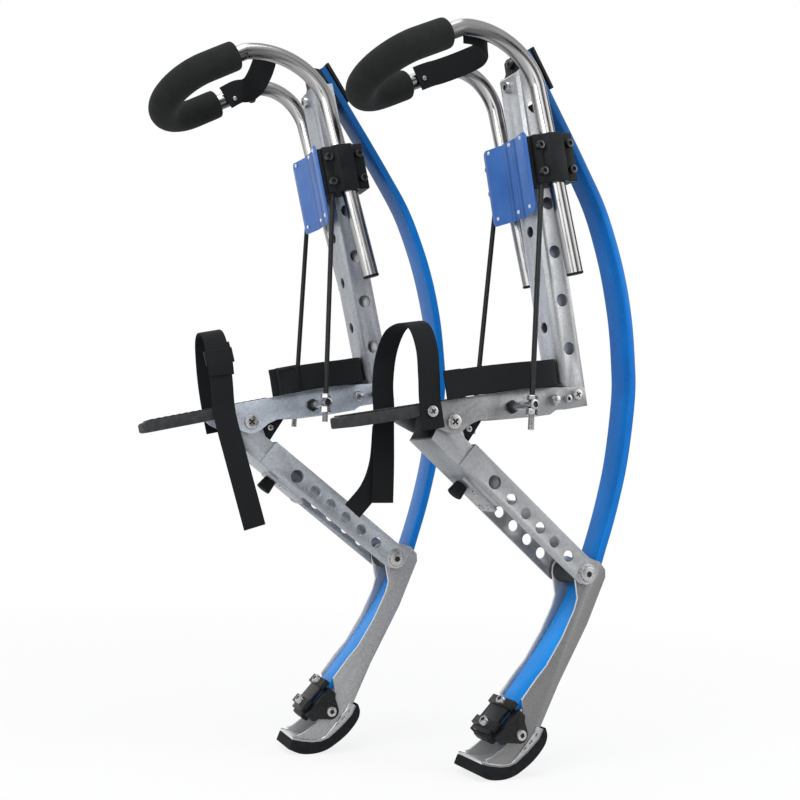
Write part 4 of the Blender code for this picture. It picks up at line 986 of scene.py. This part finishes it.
def toe_strap(tag):
    ob = strap("instep_strap", tag, "frames", to_medial(tag, OVER_INSTEP + INSTEP_DOWN[tag]), AHEAD, STRAP_W)
    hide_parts("toe_strap_" + tag)
    if tag == "left":
        strap("instep_tail", tag, "frames", to_medial(tag, LOOSE_TAIL), (0.9, 0.0, 0.35), STRAP_W - 0.003)


print("instep straps planned")

# %% [markdown]
# The heel strap runs from the outer plate round the back of the heel to the inner one, and sags a little behind.

# %% Heel straps
HEEL_Y, HEEL_Z, HEEL_W = 0.0500, 0.0465, 0.0350
HEEL_SIDE = [(-0.0500, HEEL_Y), (-0.1050, HEEL_Y), (-0.1380, 0.0465), (-0.1620, 0.0350), (-0.1755, 0.0190),
             (-0.1792, 0.0060)]
HEEL_FRONT = {"left": 0.0080, "right": -0.0350}


def heel_strap(tag):
    def sag(x):
        return HEEL_Z - 0.0034 * min(1.0, max(0.0, (-0.070 - x) / 0.070))

    pts = [(HEEL_FRONT[tag], HEEL_Y, HEEL_Z)] + [(x, y, sag(x)) for x, y in HEEL_SIDE]
    pts += [(x, -y, sag(x)) for x, y in reversed(HEEL_SIDE[1:])] + [(-0.0620, -HEEL_Y, HEEL_Z)]
    ob = strap("heel_band", tag, "frames", curve_through(pts), UPWARDS, HEEL_W)
    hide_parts("heel_strap_" + tag)


print("heel straps planned")

# %% [markdown]
# The knee belt hangs between the legs of the knee bar, behind the foam, and turns over on its way across. Its width
# directions are therefore given point by point and smoothed as the path is.

# %% Knee belts
BELT_W, BELT_T = 0.0330, 0.0020
BELT_Y = TUBE_Y - TUBE_R - 0.0003 - 0.0010


def knee_strap(tag):
    fine, start = knee_line(tag)
    legs = {1: fine[6:start + 3], -1: fine[-start - 3:-6]}

    def beside(side, x):
        """Point beside the leg of one side, at the leg's height."""
        return (x, side * BELT_Y, between(sorted((p.x, p.z) for p in legs[side]), x))

    x0 = FOAM_FROM[tag] - 0.0030
    pts = [beside(-1, x0), beside(-1, x0 - 0.0190)]
    wides = [(0.30, 0.95), (0.30, 0.95)]
    if tag == "right":
        pts += [(-0.1080, -0.975 * BELT_Y, 0.4700), (-0.1160, -0.0300, 0.4725), (-0.1190, -0.0050, 0.4775),
                (-0.1200, 0.0200, 0.4840), (-0.1205, 0.0370, 0.4910), beside(1, -0.1200)]
        wides += [(0.36, 0.92), (0.66, 0.75), (0.86, 0.50), (0.94, 0.30), (0.98, 0.05), (0.98, -0.15)]
    else:
        pts += [(-0.1040, -0.955 * BELT_Y, 0.4690), (-0.1270, -0.0235, 0.4735), (-0.1420, 0.0020, 0.4770),
                (-0.1395, 0.0265, 0.4815), (-0.1270, 0.0400, 0.4860), beside(1, -0.1120), beside(1, -0.0970)]
        wides += [(0.25, 0.97), (0.15, 0.99), (0, 1), (-0.1, 1), (-0.2, 0.98), (-0.2, 0.98), (-0.08, 1)]
    turn = curve_through([(x, 0.0, z) for x, z in wides])
    ob = strap("knee_belt", tag, "knee_" + tag, curve_through(pts), turn, BELT_W, BELT_T)
    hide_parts("knee_strap_" + tag)


for tag in TAGS:
    toe_strap(tag)
    heel_strap(tag)
    knee_strap(tag)
print("straps made")

# %% [markdown]
# Screws, nuts and rivets. On the real stilts they are zinc plated and read as small bright rings. Each kind is
# modelled once, standing on the origin: a cylinder's top face is inset twice to round the rim, and a boolean
# takes out the hexagon, cross or bore. Copies with meshes of their own then go to their places.

# %% Tools that cut
def inset_faces(ob, test, *steps):
    """Insets the faces whose normal passes a test, once per (thickness, depth)."""
    pick(ob)
    bpy.context.tool_settings.mesh_select_mode = (False, False, True)
    bpy.ops.object.mode_set(mode="EDIT")
    bpy.ops.mesh.select_all(action="DESELECT")
    bpy.ops.object.mode_set(mode="OBJECT")
    for face in ob.data.polygons:
        face.select = test(face.normal)
    bpy.ops.object.mode_set(mode="EDIT")
    for thickness, depth in steps:
        bpy.ops.mesh.inset(thickness=thickness, depth=depth)
    bpy.ops.object.mode_set(mode="OBJECT")


def take_out(ob, cutter):
    """Cuts a shape out of a piece and removes the cutter."""
    modify(ob, "hole", "BOOLEAN", operation="DIFFERENCE", solver="EXACT", object=cutter)
    apply_all(ob)
    bpy.data.objects.remove(cutter)


def block(name, centre, size, turn=(0.0, 0.0, 0.0)):
    """A cube primitive brought to its size and place."""
    pick()
    bpy.ops.mesh.primitive_cube_add(size=1.0, location=centre, rotation=turn)
    ob = bpy.context.object
    ob.name = ob.data.name = name
    ob.scale = size
    bpy.ops.object.transform_apply(location=True, rotation=True, scale=True)
    return ob


print("cutting tools ready")


# %% How one screw head is made
def head(name, sides, radius, height, ease, mat=ZINC, recess=None, opening=0.0, depth=0.0):
    """A round or six-sided head, standing on the origin, with its recess."""
    pick()
    body = height - ease
    bpy.ops.mesh.primitive_cylinder_add(vertices=sides, radius=radius, depth=body, location=(0, 0, body / 2))
    ob = bpy.context.object
    ob.name = ob.data.name = name
    bpy.ops.object.transform_apply(location=True, rotation=True, scale=True)
    inset_faces(ob, lambda n: n.z > 0.9, (ease * 0.45, ease * 0.75), (ease * 0.75, ease * 0.25))
    if recess == "cross":
        for turn in (0.0, pi / 2):
            take_out(ob, block("bit", (0, 0, height), (opening * 2, opening * 0.5, depth * 2), (0, 0, turn)))
    elif recess:
        pick()
        bpy.ops.mesh.primitive_cylinder_add(vertices=6 if recess == "hexagon" else 24, radius=opening,
                                            depth=depth * 2, location=(0, 0, height))
        take_out(ob, bpy.context.object)
    shade(ob, mat, 35.0)
    ob.data.materials.append(SOCKET_SHADE)
    # Faces inside the recess take the near-black finish: painted shade.
    for face in ob.data.polygons:
        inside = hypot(face.center.x, face.center.y) < opening * 1.02
        face.material_index = 1 if inside and face.center.z < height - depth * 0.05 else 0
    return ob


print("screw tool ready")

# %% Kinds of screw
KINDS = {name: head(name, *sizes) for name, *sizes in (
    ("clamp_screw", 32, 0.0056, 0.0066, 0.0008, BLACK_OXIDE, "hexagon", 0.0031, 0.0024),
    ("axle_head", 36, 0.0098, 0.0052, 0.0016, ZINC, "cross", 0.0050, 0.0012),
    ("strap_screw", 32, 0.0074, 0.0044, 0.0013, ZINC, "cross", 0.0038, 0.0012),
    ("heel_screw", 32, 0.0076, 0.0046, 0.0013, ZINC, "cross", 0.0040, 0.0012),
    ("dome_bolt", 32, 0.0074, 0.0110, 0.0042, RIM),
    ("eyelet", 32, 0.0056, 0.0056, 0.0010, RIM, "bore", 0.0024, 0.0016),
    ("barrel_end", 32, 0.0065, 0.0042, 0.0007, RIM, "bore", 0.0042, 0.0013),
    ("upper_nut", 6, 0.0069, 0.0056, 0.0006),
    ("lower_nut", 6, 0.0074, 0.0078, 0.0006),
    ("barrel_nut", 6, 0.0088, 0.0046, 0.0006, BLACK_STEEL),
    ("ankle_head", 36, 0.0106, 0.0058, 0.0019, ZINC, "hexagon", 0.0042, 0.0011),
    ("washer", 36, 0.0138, 0.0012, 0.0004),
    ("hoof_head", 32, 0.0070, 0.0058, 0.0014, ZINC, "hexagon", 0.0034, 0.0012),
    ("rib_bolt", 32, 0.0062, 0.0078, 0.0010, ZINC, "hexagon", 0.0034, 0.0014),
    ("post_bolt", 32, 0.0082, 0.0068, 0.0014, ZINC, "hexagon", 0.0038, 0.0013),
    ("top_bolt", 32, 0.0064, 0.0082, 0.0012, BLACK_OXIDE, "hexagon", 0.0030, 0.0012),
    ("plate_rivet", 20, 0.0027, 0.0015, 0.0008, RIVET_BRIGHT),
    ("stop_screw", 24, 0.0042, 0.0016, 0.0005, ZINC, "cross", 0.0024, 0.0007),
    ("tube_plug", 32, 0.0113, 0.0032, 0.0014, BLACK_MOULDING),
    ("rivet", 24, 0.0034, 0.0022, 0.0010),
    ("stud", 24, 0.0062, 0.0090, 0.0040, BLACK_STEEL),
)}
print("kinds of screw:", len(KINDS))

# %% [markdown]
# Now the copies are placed. Every place is a bore or a head that the solids already have, so each copy just
# covers its plain solid head, and it rides on the body that carries it.

# %% Putting a copy in its place
def put(kind, name, tag, body, where, axis, turn=0.0):
    """Copies a part that stands on z to a place, pointing along an axis."""
    ob = bpy.data.objects.new(name + "_" + tag, KINDS[kind].data.copy())
    ob.data.name = ob.name
    scene.collection.objects.link(ob)
    aim = Vector(UPWARDS).rotation_difference(Vector(axis)).to_matrix().to_4x4()
    ob.data.transform(Matrix.Translation(where) @ aim @ Matrix.Rotation(turn, 4, "Z"))
    return settle(ob, tag, body)


print("placing tool ready")

# %% [markdown]
# Each brace rod ends low down in a cross barrel that stands out from the side plate. A nut above and a locknut below
# hold it, and its threaded end sticks out. A true helix is too fine to be seen here, so rings that are wide and narrow
# by turns make the thread.

# %% Ends of the brace rods
BARREL_X, SLANT = -0.0900, 0.1987
BARREL_Y = 0.0390 + (0.0245 - 0.0390) * (-0.0560 - BARREL_X) / 0.072 + 0.004 / cos(SLANT) + 0.0003
THREAD_STEP, THREAD_R, THREAD_RINGS = 0.00055, (0.0036, 0.0041), {"left": 35, "right": 24}


def brace_ends(tag, s, side):
    """Barrel, nuts and thread at the lower end of a brace rod."""
    p = Vector((BARREL_X, s * BARREL_Y, 0.0065))
    d = Vector((-sin(SLANT), s * cos(SLANT), 0.0))
    put("barrel_end", "barrel_end_" + side, tag, "frames", p + d * 0.0415, d)
    put("barrel_nut", "barrel_nut_" + side, tag, "frames", p + d * 0.0004, d)
    low = p + d * 0.0385
    w = (Vector((-0.1702, s * 0.0595, 0.2868)) - low).normalized()
    put("upper_nut", "rod_nut_" + side, tag, "frames", low + w * 0.0058, w)
    put("lower_nut", "rod_locknut_" + side, tag, "frames", low - w * 0.0136, w)
    rows = [ring(low - w * (0.0134 + THREAD_STEP * k), w, Vector(AHEAD), THREAD_R[k % 2], 18)
            for k in range(THREAD_RINGS[tag])]
    settle(drawn("rod_thread_%s_%s" % (side, tag), rows, ZINC, 20.0), tag, "frames")


print("thread pitch %.2f mm" % (THREAD_STEP * 2000))

# %% Screws on the frames
CLAMP_X, CLAMP_Y, CLAMP_Z = (-0.1722, -0.2175), 0.0633, (0.303, 0.337)
SIDE_HEADS = (("axle_head", "toe_axle_head", (0.0, 0.0431, 0.0), 0.6),
              ("heel_screw", "heel_screw", (-0.1975, 0.0283, 0.0090), 0.4),
              ("dome_bolt", "heel_bolt", (-0.1600, 0.0283, 0.0065), 0.0),
              ("eyelet", "heel_eyelet", (-0.1815, 0.0283, 0.0055), 0.0))
RIVET_Y, RIVET_Z, TROUGH_HALF = (-0.042, 0.001, 0.039), (0.354, 0.263), 0.0465


def frame_screws(tag):
    n, outer = 0, -MEDIAL[tag]
    for s in (1, -1):
        for x in CLAMP_X:
            for z in CLAMP_Z:
                n += 1
                put("clamp_screw", "clamp_screw_%d" % n, tag, "frames", (x, s * CLAMP_Y, z), (0, s, 0),
                    0.3 * n)
        side = "outer" if s == outer else "inner"
        for kind, name, (x, y, z), turn in SIDE_HEADS:
            put(kind, name + "_" + side, tag, "frames", (x, s * y, z), (0, s, 0), turn=turn)
        brace_ends(tag, s, side)
    put("strap_screw", "toe_strap_screw", tag, "frames", (0.0290, outer * 0.0454, 0.0170), (0, outer, 0), turn=0.5)
    put("post_bolt", "post_bolt", tag, "frames", (-0.1809, 0, 0.4325), AHEAD)
    put("top_bolt", "post_top_bolt", tag, "frames", (-0.1938, 0, 0.4640), AHEAD)
    for k, y in enumerate(RIVET_Y):
        deep = 0.008 * min(1.0, (TROUGH_HALF - abs(y)) / 0.028)
        for z in RIVET_Z:
            put("plate_rivet", "calf_rivet_%d_%d" % (k, z * 1000), tag, "frames", (-0.1591 - deep, y, z), AHEAD)
    for s in (1, -1):
        put("stop_screw", "stop_screw_%d" % s, tag, "frames", (-0.0287, s * 0.0274, -0.0125), (0, s, 0))


print("heads on each side:", len(SIDE_HEADS))

# %% Screws on the moving pieces
ANKLE_X, ANKLE_Z = -0.1673, -0.2266
STRUT_UP, STRUT_OUT = (0.6365, 0.7713), (0.7713, -0.6365)


def moving_screws(tag):
    strut, yoke = "strut_" + tag, "yoke_" + tag
    for s in (1, -1):
        put("washer", "ankle_washer_%d" % s, tag, strut, (ANKLE_X, s * 0.0353, ANKLE_Z), (0, s, 0))
        put("ankle_head", "ankle_head_%d" % s, tag, strut, (ANKLE_X, s * 0.0356, ANKLE_Z), (0, s, 0))
        put("hoof_head", "hoof_pin_head_%d" % s, tag, yoke, (-0.0335, s * 0.0343, -0.4061), (0, s, 0))
    for k, s in enumerate((0.0190, 0.0540)):
        put("rib_bolt", "rib_bolt_%d" % k, tag, yoke, grip_point(s, 0.01235, 0.0030), (END_FRONT[0], 0, END_FRONT[1]))
    for k, (u, y) in enumerate(((0.1865, 0.0115), (0.1580, -0.0120), (0.1580, 0.0100))):
        where = (ANKLE_X + u * STRUT_UP[0] + 0.0211 * STRUT_OUT[0], y,
                 ANKLE_Z + u * STRUT_UP[1] + 0.0211 * STRUT_OUT[1])
        put("stop_screw", "bracket_screw_%d" % k, tag, strut, where, (STRUT_OUT[0], 0, STRUT_OUT[1]))
    path = knee_line(tag)[0]
    for k, (p, q) in enumerate(((path[0], path[1]), (path[-1], path[-2]))):
        w = (p - q).normalized()
        put("tube_plug", "tube_plug_%d" % k, tag, "knee_" + tag, p - w * 0.0008, w)


for tag in TAGS:
    frame_screws(tag)
    moving_screws(tag)
print("screws placed")

# %% [markdown]
# The hoof. A moulded tread wraps under the sole: its section is drawn along the sole's curve, and two rows in every
# six are pressed in between the two edge bands. That gives cross grooves with clean sides, where cutting each one out
# of a bent block would leave ragged faces. A bright folded rim with three slots stands along each edge of the sole.

# %% Line of the sole
SOLE = [(0.0248, -0.4276), (0.0130, -0.4335), (-0.0015, -0.4390), (-0.0130, -0.4412), (-0.0235, -0.4400),
        (-0.0430, -0.4308), (-0.0618, -0.4190), (-0.0697, -0.4090)]


def spaced(points, count):
    """Smooth line through x, z points with evenly spaced stations."""
    fine = curve_through([(x, 0.0, z) for x, z in points], 12)
    run = lengths(fine)
    out, j = [], 0
    for i in range(count):
        want = run[-1] * i / (count - 1)
        while j < len(run) - 2 and run[j + 1] < want:
            j += 1
        out.append(fine[j].lerp(fine[j + 1], (want - run[j]) / (run[j + 1] - run[j])))
    return out


def inward(path):
    """Unit normals of the sole line that point up into the hoof."""
    return [Vector((h.z, 0.0, -h.x)) for h in headings(path)]


print("length of the sole: %.3f m" % lengths(spaced(SOLE, 50))[-1])

# %% Tread
TREAD_LOW = [(0.0330, -0.4400), (0.0190, -0.4500), (0.0031, -0.4551), (-0.0130, -0.4563), (-0.0280, -0.4532),
             (-0.0500, -0.4438), (-0.0680, -0.4304), (-0.0745, -0.4190), (-0.0740, -0.4085)]
TREAD_ROWS, TREAD_HALF, TREAD_EASE, GROOVE = 75, 0.0325, 0.0012, 0.0022


def hoof_tread(tag):
    half, ease = TREAD_HALF, TREAD_EASE
    sole = spaced(SOLE, TREAD_ROWS)
    top = [p - n * 0.0018 for p, n in zip(sole, inward(sole))]
    rows = []
    for i, (t, b) in enumerate(zip(top, spaced(TREAD_LOW, TREAD_ROWS))):
        up = (t - b).normalized()
        groove = GROOVE if i % 6 < 2 and 5 < i < TREAD_ROWS - 5 else 0.0
        low = [(half - ease, 0.0), (0.0262, 0.0), (0.0256, groove), (0.0030, groove), (0.0024, groove * 0.2)]
        low += [(-y, d) for y, d in reversed(low)] + [(-half, ease)]
        high = [(-half, -ease), (-half + ease, 0.0), (half - ease, 0.0), (half, -ease)]
        row = [b + up * d + Vector((0, y, 0)) for y, d in low] + [t + up * d + Vector((0, y, 0)) for y, d in high]
        row.append(b + up * ease + Vector((0, half, 0)))
        rows.append(row + row[:1])
    ob = settle(drawn("hoof_tread_" + tag, rows, RUBBER, 35.0), tag, "hoof_" + tag)
    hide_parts("hoof_rubber_" + tag)


print("rows of the tread:", TREAD_ROWS)

# %% Sole rim
RIM_ROWS, RIM_SLOTS = 49, ((32, 0.0045), (37, 0.0065), (43, 0.0045))


def sole_rim(tag, s):
    path = spaced(SOLE, RIM_ROWS)
    heads, normals = headings(path), inward(path)
    rows = []
    for i, (p, n) in enumerate(zip(path, normals)):
        t = min(1.0, max(0.0, (i / (RIM_ROWS - 1) - 0.30) / 0.55))
        tall = 0.0022 + 0.0078 * t * t * (3 - 2 * t)
        section = [(0.0284, 0.0008), (0.0309, 0.0008), (0.0309, tall - 0.0007), (0.0303, tall), (0.0284, tall)]
        rows.append([p + n * d + Vector((0, s * y, 0)) for y, d in section + section[:1]])
    ob = close_up(draw_grid("sole_rim_%s_%s" % ("a" if s > 0 else "b", tag), rows))
    for i, long in RIM_SLOTS:
        turn = Vector(AHEAD).rotation_difference(heads[i]).to_euler()
        middle = path[i] + normals[i] * 0.0058 + Vector((0, s * 0.0306, 0))
        take_out(ob, block("slot", middle, (long, 0.0030, 0.0024), turn))
    settle(shade(ob, RIM, 35.0), tag, "hoof_" + tag)


for tag in TAGS:
    hoof_tread(tag)
    for s in (1, -1):
        sole_rim(tag, s)
print("treads and rims made")

# %% [markdown]
# A black roller turns on the ankle axle, and a resin cap closes the cut end of the blade under the yoke. Both are
# drawn as rings or sections along a short line, so their edges can be rounded in the same stroke.

# %% Ankle roller and blade cap
ROLLER = [(0.0054, 0.0143), (0.0060, 0.0148), (0.0234, 0.0147), (0.0240, 0.0138), (0.0240, 0.0118)]
CAP = ((0.0600, 0.0), (0.0604, 0.0006), (0.0690, 0.0006), (0.0702, 0.0), (0.0708, -0.0012))


def ankle_roller(tag):
    profile = [(-y, r) for y, r in reversed(ROLLER)] + ROLLER
    rows = [ring(Vector((ANKLE_X, y, ANKLE_Z)), Vector(SIDEWAYS), Vector(AHEAD), r, 32) for y, r in profile]
    settle(drawn("ankle_roller_" + tag, rows, BOARD_RUBBER), tag, "strut_" + tag)


def blade_cap(tag):
    rows = [[grip_point(s, n, y) for y, n in blade_section(0.0196 + grow, 0.0053 + grow, 0.0020)] for s, grow in CAP]
    settle(drawn("blade_cap_" + tag, rows, BLACK_MOULDING), tag, "yoke_" + tag)


for tag in TAGS:
    ankle_roller(tag)
    blade_cap(tag)
print("rollers and blade caps made")

# %% [markdown]
# The foot board carries a ribbed grip mat. A bump pattern would do from far off, but real ribs keep their edges in a
# close view: the mat is a grid whose rows rise and fall along the foot, with a wall of a millimetre from Solidify.

# %% Grip mat
MAT_HALF = [(-0.030, 0.0335), (0.0380, 0.0335), (0.0480, 0.0372), (0.1060, 0.0372), (0.1220, 0.0345), (0.1290, 0.0290)]
MAT_ROWS, MAT_STEP, MAT_Z, MAT_RIB, MAT_WALL = 107, 0.0015, 0.0273, 0.0005, 0.0011


def grip_mat(tag):
    rows = []
    for i in range(MAT_ROWS):
        x = MAT_HALF[0][0] + MAT_STEP * i
        z = MAT_Z + (MAT_RIB if i % 6 in (2, 3) else 0.0)
        rows.append([Vector((x, between(MAT_HALF, x) * (k / 6 - 1), z)) for k in range(13)])
    ob = draw_grid("grip_mat_" + tag, rows)
    modify(ob, "wall", "SOLIDIFY", thickness=MAT_WALL, offset=-1.0)
    apply_all(ob)
    settle(shade(close_up(ob), BOARD_RUBBER, 30.0), tag, "frames")


for tag in TAGS:
    grip_mat(tag)
print("grip mats made")

# %% [markdown]
# The post is a channel, and its open rear is closed by a thin bright strip pushed in between its walls, which is
# what the holes show. The strip lies in the channel's shade, so its grey is painted very bright: painted light. A
# cube at the strip's size gets two inset steps on its rear face, and a bevel rounds what is left sharp.

# %% Strip in the rear of the post
def eased(ob, width, mat, segments=3, angle=40.0):
    """Rounds the edges of a finished block and gives it a finish."""
    round_edges(ob, "edge", width, segments, angle)
    apply_all(ob)
    return shade(ob, mat, 35.0)


def post_strip(tag):
    ob = block("post_strip_" + tag, (-0.2122, 0.0, 0.2020), (0.0018, 0.0420, 0.4120))
    inset_faces(ob, lambda n: n.x < -0.9, (0.0045, 0.0), (0.0010, -0.0007))
    # Its very bright grey is painted light for the shade inside the post.
    settle(eased(ob, 0.0003, STRIP_ALUMINIUM, 2, 30.0), tag, "frames")


for tag in TAGS:
    post_strip(tag)
print("post strips made")

# %% [markdown]
# Strap hardware. The right stilt's instep strap runs through a sliding bar buckle and has a sewn flap; its heel
# strap has a snap buckle. The left heel strap is folded back on itself. Rivets hold the knee belts. The buckles are
# cubes with rounded edges, as moulded plastic has no sharp ones; one gets two slots, the other a sunken panel.

# %% Buckles and folds
FLAP = [(0.0255, 0.0432, 0.1120), (0.0262, 0.0480, 0.1010), (0.0275, 0.0514, 0.0850), (0.0290, 0.0516, 0.0680)]


def slide_buckle(tag):
    s = MEDIAL[tag]
    ob = block("slide_buckle_" + tag, (0.0, 0.0, 0.0), (0.0385, 0.0034, 0.0200))
    for z in (-0.0046, 0.0046):
        take_out(ob, block("slot", (0.0, 0.0, z), (0.0315, 0.02, 0.0046)))
    eased(ob, 0.0008, BLACK_MOULDING, 2)
    ob.data.transform(Matrix.Translation((0.0272, s * 0.0487, 0.0930)) @ Matrix.Rotation(s * 0.11, 4, "X"))
    settle(ob, tag, "frames")
    strap("instep_flap", tag, "frames", to_medial(tag, FLAP), (1.0, 0.0, 0.06), STRAP_W + 0.0035)


def snap_buckle(tag):
    ob = block("heel_buckle_" + tag, (-0.0590, 0.0511, HEEL_Z), (0.0320, 0.0090, 0.0360))
    eased(ob, 0.0020, BLACK_MOULDING)
    inset_faces(ob, lambda n: n.y > 0.95, (0.0032, 0.0), (0.0008, -0.0012))
    settle(shade(ob, BLACK_MOULDING, 35.0), tag, "frames")


def heel_fold(tag):
    path = [Vector((0.0086 - 0.0036 * k, 0.0524 - 0.00003 * k * k, HEEL_Z)) for k in range(8)]
    strap("heel_fold", tag, "frames", path, UPWARDS, HEEL_W + 0.0014)


print("buckles and folds planned")

# %% Strap hardware in place
BELT_RIVET_X = {"left": -0.0770, "right": -0.0890}
for tag in TAGS:
    put("rivet", "belt_rivet", tag, "knee_" + tag, (BELT_RIVET_X[tag], -0.0415, 0.4594), SIDEWAYS)
put("stud", "belt_stud", "right", "knee_right", (-0.1175, -0.0550, 0.4642), (0.0, 0.12, -1.0))
for source in KINDS.values():
    bpy.data.objects.remove(source)
slide_buckle("right")
snap_buckle("right")
heel_fold("left")
print("strap hardware made")
